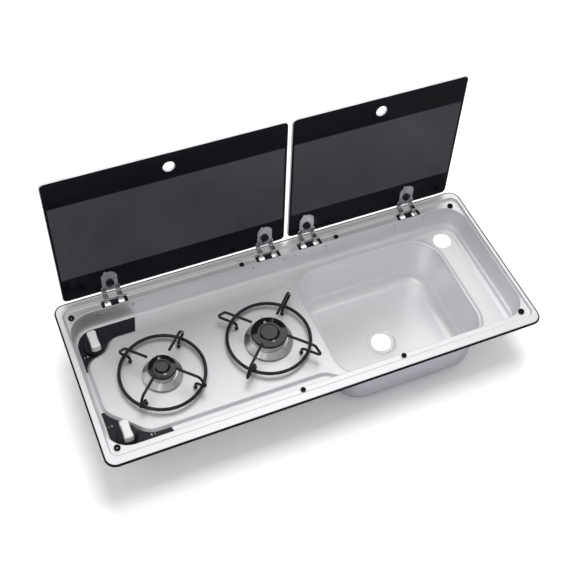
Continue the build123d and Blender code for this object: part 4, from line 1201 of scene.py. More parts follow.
    def rim(self, draft: Draft) -> None:
        """Adds the rim with its rounded edge, and the riser down to the ledge.

        Args:
            draft: The mesh that it is added to.
        """
        edge, r = self.rim_edge, self.riser_round
        rings = [[(x, y, RIM_TOP - edge) for x, y in RIM.grown(-self.rim_inset).loop()]]
        for angle in (0, 22.5, 45, 67.5, 90):
            out = -self.rim_inset - edge * 0.8 * (1 - math.cos(math.radians(angle)))
            up = RIM_TOP - edge * 0.8 * (1 - math.sin(math.radians(angle)))
            rings.append([(x, y, up) for x, y in RIM.grown(out).loop()])
        rings.append([(x, y, RIM_TOP) for x, y in RIM.grown(-self.rim_inset - 2.0).loop()])
        rings.append([(x, y, RIM_TOP) for x, y in RECESS.grown(r + 0.8).loop()])
        for out, down in quarter_round():
            rings.append([(x, y, RIM_TOP - r * down) for x, y in RECESS.grown(r * out).loop()])
        for out, up in reversed(quarter_round()):
            rings.append([(x, y, LEDGE + r * up) for x, y in RECESS.grown(-r * out).loop()])
        draft.loft(rings)

    def wall(self, draft: Draft) -> None:
        """Adds the tub's rounded lip and its wall, down to the foot.

        Args:
            draft: The mesh that it is added to.
        """
        rings = [[(x, y, LEDGE - self.tub_lip_drop * down) for x, y in TUB.grown(self.tub_lip * out).loop()]
                 for out, down in quarter_round()]
        rings.append([(x, y, z) for (x, y), z in zip(self.tub_line, self.heights(np.array(self.tub_line)))])
        draft.loft(rings)

    def ledge(self, draft: Draft) -> None:
        """Adds the ledge with the holes for its bushes, buffers and hinge arms.

        Args:
            draft: The mesh that it is added to.
        """
        outer = RECESS.grown(-self.riser_round)
        inner = TUB.grown(self.tub_lip).loop()
        bushes = [circle(*p, 4.0, 24) for p in BUSH_PLACES]
        buffers = [circle(*p, 2.5, 16) for p in BUFFER_PLACES]
        holes = bushes + buffers + self.slots()
        outer_support = RECESS.grown(-self.riser_round - 0.6).loop()
        inner_support = TUB.grown(self.tub_lip + 0.8).loop()
        points, faces = triangulated([outer.loop(), outer_support, inner, inner_support, *holes])
        centres = np.array(points)[np.array([f[:3] for f in faces])].mean(axis=1)
        kept = (depth_inside(centres, outer.loop()) > 0) & (depth_inside(centres, inner) < 0)
        for hole in holes:
            kept &= depth_inside(centres, hole) < 0
        draft.web([(px, py, LEDGE) for px, py in points], faces, kept)

    def build(self) -> None:
        """Builds the tray."""
        draft = Draft()
        self.rim(draft)
        self.wall(draft)
        self.ledge(draft)
        self.floor(draft)
        tray = draft.made("pressed_tray", [SHELF.get(TRAY_STEEL)])
        thicken(tray)
        shade_evenly(tray)
        settle(tray, Body.UNIT, Slot.SHEET_STEEL, "tray_rim", "tray_wall", "wall_corners", "hob_plate")


@dataclass
class Bowl:
    """The drawn sink bowl with its rolled lip, large foot radius and drain recess."""

    tray: Tray
    taper_deg: float = 2.0
    foot: float = 28.0
    fall: float = 1.4
    wall_start: float = 8.0
    drain: Point = DRAIN
    recess_r: float = 30.0
    recess_depth: float = 2.5
    hole_r: float = 21.0

    def build(self) -> None:
        """Builds the bowl from its lip down to the drain hole."""
        walk = BOWL.walk()
        lips = [self.tray.lip_at(y) for _, y, _, _ in walk]
        starts = self.tray.heights(np.array(self.tray.mouth))
        rings: list[list[Place]] = []
        for out, down in quarter_round():
            rings.append([(x + nx * lip * out, y + ny * lip * out, z - lip * down)
                          for (x, y, nx, ny), lip, z in zip(walk, lips, starts)])
        slope = math.tan(math.radians(self.taper_deg))
        deepest = (PLATEAU - BOWL_FLOOR) * slope
        start = PLATEAU - self.wall_start
        for share in (0.25, 0.5, 0.75, 1.0):
            z = start - (start - BOWL_FLOOR - self.foot) * share
            rings.append([(x, y, z) for x, y in BOWL.grown(-(PLATEAU - z) * slope).loop()])
        wall = (PLATEAU - BOWL_FLOOR - self.foot) * slope
        for angle in range(10, 91, 10):
            a = math.radians(angle)
            out = wall + (deepest - wall) * angle / 90 + self.foot * (1 - math.cos(a))
            up = self.foot * (1 - math.sin(a)) + self.fall
            rings.append([(x, y, BOWL_FLOOR + up) for x, y in BOWL.grown(-out).loop()])
        last = rings[-1]
        mouth = self.recess_r + 3.0
        bearings = [math.atan2(y - self.drain[1], x - self.drain[0]) for x, y, _ in last]
        for share in (0.12, 0.3, 0.5, 0.7, 0.86, 1.0):
            rings.append([(x + (self.drain[0] + mouth * math.cos(b) - x) * share,
                           y + (self.drain[1] + mouth * math.sin(b) - y) * share,
                           BOWL_FLOOR + self.fall * (1 - share)) for (x, y, _), b in zip(last, bearings)])
        low = -self.recess_depth
        profile = [(mouth - 1.1, -0.15), (mouth - 2.1, -0.6), (mouth - 2.8, -1.3), (mouth - 3.4, -1.95),
                   (mouth - 4.2, low + 0.15), (mouth - 5.2, low), (self.hole_r + 1.2, low),
                   (self.hole_r + 0.4, low - 0.1), (self.hole_r, low - 0.4)]
        for radius, level in profile:
            rings.append([(self.drain[0] + radius * math.cos(b), self.drain[1] + radius * math.sin(b),
                           BOWL_FLOOR + level) for b in bearings])
        draft = Draft()
        draft.loft([ring[::-1] for ring in rings][::-1])
        # The outside takes the darker, bluer steel: painted shade.
        bowl = draft.made("drawn_bowl", [SHELF.get(BOWL_STEEL), SHELF.get(BOWL_OUTSIDE_SHADED)])
        thicken(bowl, other_side=1)
        shade_evenly(bowl)
        settle(bowl, Body.UNIT, Slot.SHEET_STEEL, "sink_bowl")


# ---------------------------------------------------------------- seal and ledge fittings
HINGE_XS = (-331.0, -3.5, 90.5, 323.0)
BUSH_PLACES: list[Point] = [(x, y) for x in (-421.0, 421.0) for y in (151.0, -147.5)]
BUFFER_PLACES: list[Point] = [(x, y) for x in (-62.5, 150.5) for y in (158.5, -156.5)]
RIVET_XS = [x + side for x in HINGE_XS for side in (-35.0, 35.0)]


@dataclass
class LedgeFittings:
    """The rim seal, corner bushes, buffers and rivets."""

    seal_height: float = 4.0
    bush_r: float = 6.0
    bush_height: float = 3.7
    hole_r: float = 2.25
    buffer_r: float = 5.0
    rivet_r: float = 3.6
    rivet_level: float = -16.0

    def seal(self) -> None:
        """The rubber seal, rounded outside, with a fine groove half way up."""
        inner = CUTOUT.grown(1.0)
        top = self.seal_height
        profile = [(-0.9, 0.0, RIM), (-0.25, 0.35, RIM), (0.0, 1.1, RIM), (-0.1, 1.8, RIM), (-0.4, 2.05, RIM),
                   (-0.1, 2.3, RIM), (0.0, 3.2, RIM), (-0.3, 4.0, RIM), (-0.9, 4.5, RIM), (-1.9, 4.65, RIM),
                   (-2.8, 4.45, RIM), (-2.95, top, RIM), (0.0, top, inner), (0.0, 0.9, inner),
                   (0.8, 0.5, inner), (1.4, 0.5, inner), (2.0, 0.0, inner)]
        draft = Draft()
        draft.loft([[(x, y, z) for x, y in base.grown(out).loop()] for out, z, base in profile], seal=True)
        fit(draft, "rubber_rim_seal", (RUBBER,), Body.UNIT, "rim_seal", even=False)

    def bushes(self) -> None:
        """The four rubber bushes round the corner screws."""
        draft = Draft()
        h, r, bore = self.bush_height, self.bush_r, self.hole_r
        line = rounded([(bore, -3.0, 0.2), (5.0, -3.0, 0.6), (5.0, -1.0, 0.2), (4.0, -1.0, 0.1),
                        (4.0, 0.0, 0.1), (r, 0.0, 0.3), (r, h, 1.2), (bore + 1.6, h, 0.4),
                        (bore, h - 1.0, 0.3)], step_deg=22)
        for x, y in BUSH_PLACES:
            draft.turned(line + line[:1], x, y, LEDGE, 40)
        fit(draft, "screw_bushes", (RUBBER,), Body.UNIT, "corner_bushes", even=False)

    def buffers(self) -> None:
        """The four push-in buffers."""
        draft = Draft()
        h, r = self.bush_height, self.buffer_r
        line = [(0.0, -3.0), (2.6, -3.0), (3.6, -2.2), (3.6, -1.0), (2.5, -1.0), (2.5, 0.0), (r - 0.3, 0.0),
                (r, 0.4)]
        line += arc(r - 1.6, h - 1.6, 1.6, 0, 90, 5) + [(1.4, h), (0.9, h - 0.5), (0.0, h - 0.5)]
        for x, y in BUFFER_PLACES:
            draft.turned(line, x, y, LEDGE, 36)
        fit(draft, "lid_buffers", (RUBBER,), Body.UNIT, "ledge_buffers", even=False)

    def rivets(self) -> None:
        """The domed rivets in the rear wall."""
        draft = Draft()
        r = self.rivet_r
        head = [(0.0, 1.45), (1.2, 1.35), (2.2, 1.05), (3.0, 0.6), (r, 0.1), (r, 0.0), (2.0, 0.0)]
        for x in RIVET_XS:
            first = len(draft.points)
            draft.turned(head[::-1], 0, 0, 0, 28)
            draft.turned([(2.0, -2.9), (r, -3.0), (r, -3.4), (2.4, -4.2), (0.0, -4.3)][::-1], 0, 0, 0, 28)
            for i in range(first, len(draft.points)):
                px, py, pz = draft.points[i]
                draft.points[i] = (x + px, TUB.rear - pz, self.rivet_level + py)
        fit(draft, "wall_rivets", (BRIGHT_PLATING,), Body.UNIT, "hinge_rivets", even=False)

    def build(self) -> None:
        """Builds the seal and the ledge's fittings."""
        self.seal()
        self.bushes()
        self.buffers()
        self.rivets()
        keep("hinge_slot_plates", BLACK_PLASTIC, 0.3)
        keep("hinge_brackets", HINGE_STEEL, 0.3)
        keep("hinge_pins", BRIGHT_PLATING, 0.3)


# ---------------------------------------------------------------- lids
@dataclass
class Lid:
    """One glass lid with its straps, gaskets, screws and nuts, drawn closed and then opened."""

    side: str
    body: Body
    left: float
    right: float
    hinges: tuple[float, float]
    rear: float = 151.5
    depth: float = 311.8
    corner: float = 10.0
    finger_r: float = 11.0
    finger_from_edge: float = 33.0
    band_front: float = 62.0
    band_rear: float = 61.0
    band_side: float = 5.5
    edge: float = 0.9
    strap: float = 1.8
    gasket: float = 0.5
    tongue_length: float = 53.0
    tongue_half: float = 16.0
    tongue_foot_half: float = 19.0
    lug_side: float = 7.5
    lug_half: float = 3.4
    lug_height: float = 4.2
    arm_width: float = 10.0
    arm_back: float = 15.0
    arm_drop: float = 9.0
    screw_from_edge: float = 22.0
    screw_r: float = 8.5
    screw_height: float = 4.0
    nut_r: float = 9.0
    nut_height: float = 2.5
    shank_r: float = 4.0

    @property
    def screw_y(self) -> float:
        """The strap screws' place along y."""
        return self.rear - self.screw_from_edge

    def place(self, draft: Draft, name: str, finishes: tuple[Finish, ...], node: str) -> None:
        """Makes a piece that is drawn closed, opens it and puts it on the lid's body.

        Args:
            draft: The piece's mesh.
            name: The piece's name, without its side.
            finishes: Its finishes.
            node: The CAD node that it stands for, without its side.
        """
        thing = draft.made(f"{self.side}_{name}", [SHELF.get(finish) for finish in finishes])
        shade_evenly(thing)
        thing.matrix_world = lid_opening()
        settle(thing, self.body, finishes[0].slot, f"{self.side}_{node}")

    def glass(self) -> None:
        """The glass with ground edges, its finger hole and its screw holes."""
        front = self.rear - self.depth
        plan = Outline(self.left, self.right, front, self.rear, self.corner, arc_steps=8, x_steps=6, y_steps=4)
        middle = (self.left + self.right) / 2
        finger = (middle, front + self.finger_from_edge, self.finger_r)
        holes = [(x, self.screw_y, self.shank_r) for x in self.hinges]
        low, high, e = LID_UNDERSIDE, LID_UNDERSIDE + GLASS, self.edge
        draft = Draft()
        inset = plan.grown(-e).loop()
        mouths = [circle(finger[0], finger[1], finger[2] + e * 0.7, 56)] + [circle(*h, 24) for h in holes]
        draft.flat(inset, mouths, high)
        draft.flat(inset, mouths, low, down=True)
        arris = [(1 - math.cos(math.radians(a)), 1 - math.sin(math.radians(a))) for a in (90, 68, 45, 22, 0)]
        rim = [[(x, y, low + e * b) for x, y in plan.grown(-e * a).loop()] for a, b in arris]
        rim += [[(x, y, high - e * b) for x, y in plan.grown(-e * a).loop()] for a, b in reversed(arris)]
        draft.loft(rim, finish=1)
        k = e * 0.7
        bore = [(finger[2] + k * a, low + k * b) for a, b in arris]
        bore += [(finger[2] + k * a, high - k * b) for a, b in reversed(arris)]
        draft.turned(bore[::-1], finger[0], finger[1], 0.0, 56, finish=1)
        for x, y, r in holes:
            draft.turned([(r, high), (r, low)], x, y, 0.0, 24, finish=1)
        field_half = (self.right - self.left) / 2 - self.band_side
        print_finish = PrintedGlass(f"{self.side}_lid_print", middle, field_half, front + self.band_front,
                                    self.rear - self.band_rear)
        self.place(draft, "glass_lid", (print_finish, GlassEdge("glass_edge")), "lid_glass")

    def tongue(self, x: float, inset: float) -> Loop:
        """The plan of a tongue, drawn in by a distance.

        Args:
            x: The middle of the hinge.
            inset: How far the line is drawn in.

        Returns:
            The line, against the clock, with the lug at its tip.
        """
        tip, rear = self.rear - self.tongue_length + inset, self.rear - inset
        half, wide = self.tongue_half - inset, self.tongue_foot_half - inset
        cy = self.rear - self.tongue_length + self.tongue_half
        line = [(x - wide, rear), (x - wide, self.rear - 10.0 + inset), (x - half, self.rear - 11.0 + inset)]
        for px, py in arc(x, cy, half, 180.0, 360.0, 24):
            near = abs(px - (x - self.lug_side))
            if near < self.lug_half:
                py -= self.lug_height * min(1.0, (self.lug_half - near) / 1.6)
            line.append((px, max(py, tip - self.lug_height)))
        line += [(x + half, self.rear - 11.0 + inset), (x + wide, self.rear - 10.0 + inset), (x + wide, rear)]
        return line

    def straps(self) -> None:
        """The tongues under the glass with their pairs of gooseneck arms."""
        draft = Draft()
        high = LID_UNDERSIDE - self.gasket
        low = high - self.strap
        mid = (low + high) / 2
        back, foot, eye = PIVOT.y - self.arm_back, PIVOT.z - self.arm_drop, PIVOT.y - 3.0
        bends = ((self.rear - 12.0, mid), (back, mid), (back, foot), (eye, foot), (eye, PIVOT.z))
        e = 0.45
        levels = ((e, low), (e * 0.3, low + e * 0.3), (0.0, low + e), (0.0, high - 0.1), (0.1, high))
        for x in self.hinges:
            rings = [[(px, py, z) for px, py in self.tongue(x, inset)] for inset, z in levels]
            draft.loft(rings, finish=1, cap=(True, True))
            for arm_x in (x - ARM_SIDE, x + ARM_SIDE):
                corners = [Vector((arm_x, y, z)) for y, z in bends]
                draft.tube(path_3d(corners, [3.0] * 3), section_of_strip(self.arm_width, self.strap, 0.5))
                self.barrel(draft, arm_x)
        self.place(draft, "lid_straps", (HINGE_STEEL, TONGUE_STEEL), "hinge_straps")

    def barrel(self, draft: Draft, x: float) -> None:
        """Adds the rolled eye of an arm, round the hinge pin.

        Args:
            draft: The mesh that it is added to.
            x: The middle of the arm.
        """
        bore, out, half, e = 2.05, 4.0, self.arm_width / 2, 0.4
        line = [(bore, -half), (out - e, -half), (out, -half + e), (out, half - e), (out - e, half),
                (bore, half), (bore, -half)]
        first = len(draft.points)
        draft.turned(line, 0, 0, 0, 24)
        for i in range(first, len(draft.points)):
            px, py, pz = draft.points[i]
            draft.points[i] = (x + pz, PIVOT.y + px, PIVOT.z + py)

    def screws(self) -> None:
        """The large black screws on the tongues, each with a wide slot."""
        draft = Draft()
        top = LID_UNDERSIDE - self.gasket - self.strap
        r, height, half, depth, shoulder = self.screw_r, self.screw_height, 1.0, 1.6, 1.4
        face_r = r - shoulder
        reach = math.sqrt(face_r**2 - half**2) - 0.6
        tail = LID_UNDERSIDE + GLASS + 1.0
        for index, x in enumerate(self.hinges):
            turn = math.radians(28 + 47 * index)
            hole = [(-reach, -half), (reach, -half), (reach, half), (-reach, half)]
            c, s = math.cos(turn), math.sin(turn)
            hole = [(x + px * c - py * s, self.screw_y + px * s + py * c) for px, py in hole]
            face = circle(x, self.screw_y, face_r, 40)
            bottom = top - height
            draft.flat(face, [hole], bottom, down=True)
            draft.loft([[(px, py, bottom) for px, py in hole], [(px, py, bottom + depth) for px, py in hole]],
                       cap=(False, True))
            side = [(face_r, 0.0)] + arc(face_r, shoulder, shoulder, -70, 0, 4)
            draft.turned(side + [(r, height), (self.shank_r, height)], x, self.screw_y, bottom, 40)
            draft.turned([(self.shank_r, top), (self.shank_r, tail), (0.0, tail)], x, self.screw_y, 0.0, 24)
        self.place(draft, "lid_screws", (SCREW_BLACK,), "strap_screws")

    def nuts(self) -> None:
        """The round nuts on the outside of the glass, with two key holes each."""
        draft = Draft()
        top, r, h = LID_UNDERSIDE + GLASS, self.nut_r, self.nut_height
        for x in self.hinges:
            side = [(self.shank_r, 0.0), (r, 0.0), (r, h - 1.0)] + arc(r - 1.0, h - 1.0, 1.0, 0, 90, 4)[1:]
            draft.turned(side, x, self.screw_y, top, 40)
            keys = [circle(x + s * 5.4, self.screw_y, 1.1, 14) for s in (-1, 1)]
            draft.flat(circle(x, self.screw_y, r - 1.0, 40), keys, top + h)
            for key in keys:
                draft.loft([[(px, py, top + h) for px, py in key], [(px, py, top + h - 1.4) for px, py in key]],
                           cap=(False, True))
        self.place(draft, "lid_nuts", (SCREW_BLACK,), "strap_nuts")

    def build(self) -> None:
        """Builds the lid and all that turns with it."""
        self.glass()
        self.straps()
        self.screws()
        self.nuts()
        keep(f"{self.side}_strap_gaskets", RUBBER, 0.0)


# ---------------------------------------------------------------- gas controls
@dataclass
class Knob:
    """One gas knob: a black skirt with a silver bar grip, its panel and the tap below."""

    side: str
    body: Body
    y: float
    off_mark: Point
    flame_mark: Point | None = None
    bottom: float = -44.3
    skirt_r: float = 20.5
    skirt_top_r: float = 17.0
    skirt_height: float = 12.0
    grip_width: float = 18.5
    grip_length: float = 42.0
    grip_height: float = 15.5
    panel_top: float = -48.5
    ink: float = 0.08

    def skirt(self) -> None:
        """The skirt, with a rolled foot and a softly rounded shoulder."""
        r, t, h = self.skirt_r, self.skirt_top_r, self.skirt_height
        line = rounded([(7.0, 3.0, 0.2), (7.0, 7.0, 0.5), (14.0, 7.0, 0.5), (17.5, 0.0, 0.3), (r, 0.0, 0.7),
                        (r, 3.0, 1.2), (t, h, 2.2), (4.2, h, 0.2), (4.2, 3.0, 0.2)], step_deg=15)
        draft = Draft()
        draft.turned(line + line[:1], KNOB_X, self.y, self.bottom, 72)
        fit(draft, f"{self.side}_skirt", (BLACK_PLASTIC,), self.body, f"{self.side}_knob_skirt")

    def grip(self) -> None:
        """The bar grip: waisted sides, round ends and a crowned top."""
        w, half, h = self.grip_width / 2, self.grip_length / 2, self.grip_height
        base = self.bottom + self.skirt_height

        def plan(inset: float, pinch: float) -> Loop:
            """Draws the grip's plan: bowed ends, soft corners and sides pinched in the middle.

            Args:
                inset: How far the plan is drawn in.
                pinch: How far the sides are pinched.

            Returns:
                The plan, against the clock.
            """
            reach = math.sqrt(half**2 - w**2)
            end = [(half * math.sin(math.radians(a)), half * math.cos(math.radians(a))) for a in
                   (-math.degrees(math.asin((w - 1.4) / half)) * (1 - k / 4) for k in range(9))]
            corner = [(w - 0.5, reach - 0.3), (w, reach - 1.6)]
            sides = [(w - pinch * math.cos(math.pi * k / 2), k * reach * 0.8)
                     for k in (0.8, 0.4, 0.0, -0.4, -0.8)]
            line = end + corner + sides + [(w, 1.6 - reach), (w - 0.5, 0.3 - reach)]
            line += [(-x, -y) for x, y in line]
            scale_x, scale_y = (w - inset) / w, (half - inset) / half
            return [(KNOB_X + x * scale_x, self.y + y * scale_y) for x, y in line][::-1]

        levels = [(0.6, 0.2, 0.0), (0.0, 0.4, 0.8), (0.0, 0.9, h * 0.45), (0.25, 0.9, h - 2.6),
                  (0.7, 0.8, h - 1.4), (1.5, 0.7, h - 0.5), (2.6, 0.5, h - 0.1), (4.6, 0.3, h)]
        draft = Draft()
        draft.loft([[(x, y, base + z) for x, y in plan(inset, pinch)] for inset, pinch, z in levels],
                   cap=(True, True))
        fit(draft, f"{self.side}_grip", (SILVER_PLASTIC,), self.body, f"{self.side}_knob_grip")

    def mark(self, draft: Draft, line: Loop) -> None:
        """Adds a printed mark to the panel."""
        draft.loft([[(x, y, z) for x, y in line] for z in (self.panel_top, self.panel_top + self.ink)],
                   cap=(True, True))

    def flame(self, x: float, y: float, size: float) -> Loop:
        """The outline of a small flame."""
        return arc(x, y, size, 150, 390, 14) + [(x, y + size * 2.1)]

    def marks(self) -> None:
        """The printed marks beside the knob: off dot, large flame and small flame."""
        draft = Draft()
        self.mark(draft, circle(self.off_mark[0] - 6.0, self.off_mark[1], 1.1, 20))
        self.mark(draft, self.flame(*self.off_mark, 1.5))
        if self.flame_mark:
            self.mark(draft, self.flame(*self.flame_mark, 1.7))
            self.mark(draft, self.flame(self.flame_mark[0] + 6.5, self.flame_mark[1] + 0.4, 1.1))
        fit(draft, f"{self.side}_panel_marks", (MARK_PAINT,), Body.UNIT, even=False)

    def build(self) -> None:
        """Builds the knob and dresses its tap."""
        self.skirt()
        self.grip()
        self.marks()
        keep(f"{self.side}_control_panel", BLACK_PLASTIC, 0.4)
        keep(f"{self.side}_gas_tap", BRASS, 0.4)
        keep(f"{self.side}_tap_plug", BRASS, 0.2)
        keep(f"{self.side}_tap_spindle", BRIGHT_PLATING, 0.2)


# ---------------------------------------------------------------- burners and pan supports
@dataclass
class BurnerSet:
    """One burner: its head, enamelled cap, cap screws, cup and jet."""

    size: str
    x: float
    opening_r: float
    base_r: float
    shoulder_r: float
    shoulder: float
    port_r: float
    cap_r: float
    cap_top: float
    cap_thickness: float
    dish_r: float
    screw_offset: float
    ports: int
    skirt_gap: float = 3.5
    skirt_edge: float = 2.0

    def head(self) -> None:
        """The alloy head: a conical collar, and a ring cut with flame ports."""
        draft = Draft()
        spigot = self.opening_r - 0.5
        low = self.cap_top - self.cap_thickness
        over = self.base_r - 2.5
        gap, edge = self.skirt_gap, self.skirt_gap + self.skirt_edge
        # The undercut below the skirt takes the near-black alloy: painted shade in the gap.
        under = [(spigot - 2, -10.0), (spigot, -10.0), (spigot, 0.0), (over, 0.0), (over, gap),
                 (self.base_r - 0.7, gap)]
        draft.turned(under, self.x, BURNER_Y, PLATEAU, 96, finish=1)
        outer = rounded([(self.base_r - 0.7, gap, 0.1), (self.base_r, gap, 0.5), (self.base_r, edge, 0.9),
                         (self.shoulder_r + 0.6, self.shoulder - 0.5, 1.6),
                         (self.shoulder_r - 1.4, self.shoulder, 0.5), (self.port_r + 0.2, self.shoulder, 0.6)],
                        closed=False, step_deg=12)
        draft.turned(outer, self.x, BURNER_Y, PLATEAU, 96)
        steps = self.ports * 4

        def ports(depth: float, z: float) -> list[Place]:
            """Draws a ring with its ports cut in.

            Args:
                depth: How deep the ports are.
                z: The ring's height.

            Returns:
                The ring's points.
            """
            found = []
            for i in range(steps):
                a = 2 * math.pi * i / steps
                r = self.port_r - (depth if i % 4 in (1, 2) else 0.0)
                found.append((self.x + r * math.cos(a), BURNER_Y + r * math.sin(a), PLATEAU + z))
            return found

        draft.loft([ports(0.0, self.shoulder), ports(0.0, low - 4.2), ports(1.6, low - 4.0),
                    ports(1.6, low - 0.9), ports(0.0, low - 0.7), ports(0.0, low - 0.02)])
        inner = self.port_r - 4.0
        draft.turned([(self.port_r, low - 0.02), (inner, low - 0.02), (inner, self.shoulder - 2),
                      (spigot - 2, 1.5), (spigot - 2, -10.0)], self.x, BURNER_Y, PLATEAU, 96)
        fit(draft, f"{self.size}_head", (BURNER_ALLOY, SHADE_BLACK_ALLOY), Body.UNIT, f"{self.size}_burner_head")

    def cap(self) -> None:
        """The enamelled cap: a thick rounded rim, a slightly domed ring and a soft dish."""
        r, top, thick, dish = self.cap_r, self.cap_top, self.cap_thickness, self.dish_r
        low = top - thick
        line = [(0.0, low - 3.0), (self.port_r - 4.8, low - 3.0), (self.port_r - 4.4, low), (r - 0.8, low)]
        line += [(r - 0.2, low + 0.2), (r, low + 0.8), (r, top - 3.4)]
        line += arc(r - 2.6, top - 3.4, 2.6, 8, 68, 7)
        wide = r - dish
        dome = ((0.62, 0.55), (0.45, 0.26), (0.3, 0.08), (0.18, 0.0))
        line += [(dish + share * wide, top - drop) for share, drop in dome]
        line += [(dish + 0.2, top - 0.2), (dish - 0.9, top - 0.7), (dish - 2.0, top - 1.1),
                 (dish - 3.2, top - 1.2), (0.0, top - 1.2)]
        draft = Draft()
        draft.turned(line, self.x, BURNER_Y, PLATEAU, 96)
        fit(draft, f"{self.size}_cap", (ENAMEL_CAP,), Body.UNIT, f"{self.size}_burner_cap")

    def screws(self) -> None:
        """The two bright pan-head screws of the cap, with crossed recesses."""
        draft = Draft()
        for side in (-1, 1):
            y = BURNER_Y + side * self.screw_offset
            level = PLATEAU + self.cap_top
            face = circle(self.x, y, 2.3, 24)
            arm, slim, turn = 1.5, 0.42, math.radians(20 + 35 * side)
            cross = [(slim, slim), (arm, slim), (arm, -slim), (slim, -slim), (slim, -arm), (-slim, -arm),
                     (-slim, -slim), (-arm, -slim), (-arm, slim), (-slim, slim), (-slim, arm),
                     (slim, arm)][::-1]
            c, s = math.cos(turn), math.sin(turn)
            cross = [(self.x + px * c - py * s, y + px * s + py * c) for px, py in cross]
            draft.flat(face, [cross], level + 2.1)
            draft.loft([[(px, py, level + z) for px, py in cross] for z in (1.2, 2.1)], cap=(True, False))
            draft.turned([(2.0, -14.0), (2.0, -0.8), (3.2, -0.8), (3.4, -0.5), (3.4, 1.0), (3.1, 1.6),
                          (2.7, 1.95), (2.3, 2.1)], self.x, y, level, 24)
        fit(draft, f"{self.size}_screws", (BRIGHT_PLATING,), Body.UNIT, f"{self.size}_cap_screws")

    def build(self) -> None:
        """Builds the burner."""
        self.head()
        self.cap()
        self.screws()
        keep(f"{self.size}_burner_cup", TAP_ALLOY, 0.2)
        keep(f"{self.size}_burner_jet", BRASS, 0.3)


FINGER_BEARINGS = (45, 135, 225, 315)


@dataclass
class PanSupport:
    """One pan support: a wire ring with four bent fingers that stand on ball feet."""

    side: str
    x: float
    inner_r: float
    bend_r: float
    toe_r: float
    ring_r: float = 83.0
    ring_wire: float = 3.4
    wire: float = 2.8
    foot_circle: float = 69.8
    leg: float = 18.0
    height: float = 46.0

    def spot(self, angle_deg: float, radius: float, z: float) -> Vector:
        """A place at a bearing, a radius and a level."""
        a = math.radians(angle_deg)
        return Vector((self.x + radius * math.cos(a), BURNER_Y + radius * math.sin(a), z))

    def ring(self) -> None:
        """The ring, with a bead of weld under each finger."""
        level = PLATEAU + self.leg - self.wire - self.ring_wire
        draft = Draft()
        section = section_of_wire(self.ring_wire, 16)
        rings = []
        for i in range(96):
            a = 2 * math.pi * i / 96
            rings.append([(self.x + (self.ring_r + u) * math.cos(a), BURNER_Y + (self.ring_r + u) * math.sin(a),
                           level + v) for u, v in section][::-1])
        draft.loft(rings, seal=True)
        for angle in FINGER_BEARINGS:
            for side in (-1, 1):
                spot = self.spot(angle + side * 1.5, self.ring_r, level + self.ring_wire * 0.92)
                draft.turned([(0.0, -1.4), (1.5, -0.9), (1.9, 0.0), (1.4, 0.9), (0.0, 1.3)], *spot, 12)
        fit(draft, f"{self.side}_ring", (ENAMEL_WIRE,), Body.UNIT, f"{self.side}_support_ring", even=False)

    def fingers(self) -> None:
        """The four fingers, each one bent wire with a rounded tip."""
        draft = Draft()
        top = PLATEAU + self.height - self.wire
        leg = PLATEAU + self.leg
        for angle in FINGER_BEARINGS:
            bends = ((self.foot_circle, PLATEAU + 6.5), (self.foot_circle, leg), (self.toe_r, leg),
                     (self.bend_r, top), (self.inner_r, top))
            corners = [self.spot(angle, radius, z) for radius, z in bends]
            draft.tube(path_3d(corners, [7.0, 5.0, 9.0], 9.0), section_of_wire(self.wire, 14))
        thing = draft.made(f"{self.side}_fingers", [SHELF.get(ENAMEL_WIRE)])
        bevel = thing.modifiers.new("tip", "BEVEL")
        bevel.width = 0.7 * MM
        bevel.segments = 3
        bevel.limit_method = "ANGLE"
        bevel.angle_limit = math.radians(60)
        shade_evenly(thing)
        settle(thing, Body.UNIT, Slot.BLACK_ENAMEL, f"{self.side}_support_fingers")

    def feet(self) -> None:
        """The ball feet, slightly flattened where they stand."""
        draft = Draft()
        line = [(0.0, 0.0), (1.6, 0.1), (2.6, 0.7)] + arc(0.0, 4.0, 4.0, -38, 72, 9) + [(0.9, 8.0), (0.0, 8.0)]
        for angle in FINGER_BEARINGS:
            draft.turned(line, *self.spot(angle, self.foot_circle, PLATEAU), 28)
        fit(draft, f"{self.side}_feet", (RUBBER,), Body.UNIT, f"{self.side}_support_feet", even=False)

    def build(self) -> None:
        """Builds the support."""
        self.ring()
        self.fingers()
        self.feet()


@dataclass
class Underside:
    """The pipes and probes under the tray."""

    eased_edge: float = 0.3

    def build(self) -> None:
        """Dresses the pipes and probes."""
        keep("gas_manifold", BRASS, self.eased_edge)
        keep("feed_pipes", BRASS, 0.0)
        keep("flame_probes", HINGE_STEEL, self.eased_edge)


# ---------------------------------------------------------------- studio
@dataclass(frozen=True)
class Lamp:
    """One square soft lamp that looks at the middle of the unit, with its lengths in metres."""

    name: str
    place: Place
    size: float
    watts: float
    mirrored: bool = True

    def hang(self) -> None:
        """Puts the lamp in the scene."""
        data = bpy.data.lights.new(self.name, "AREA")
        data.shape = "SQUARE"
        data.size = self.size
        data.energy = self.watts
        lamp = bpy.data.objects.new(self.name, data)
        lamp.location = self.place
        lamp.rotation_euler = (Vector() - Vector(self.place)).to_track_quat("-Z", "Y").to_euler()
        lamp.visible_glossy = self.mirrored
        bpy.context.scene.collection.objects.link(lamp)


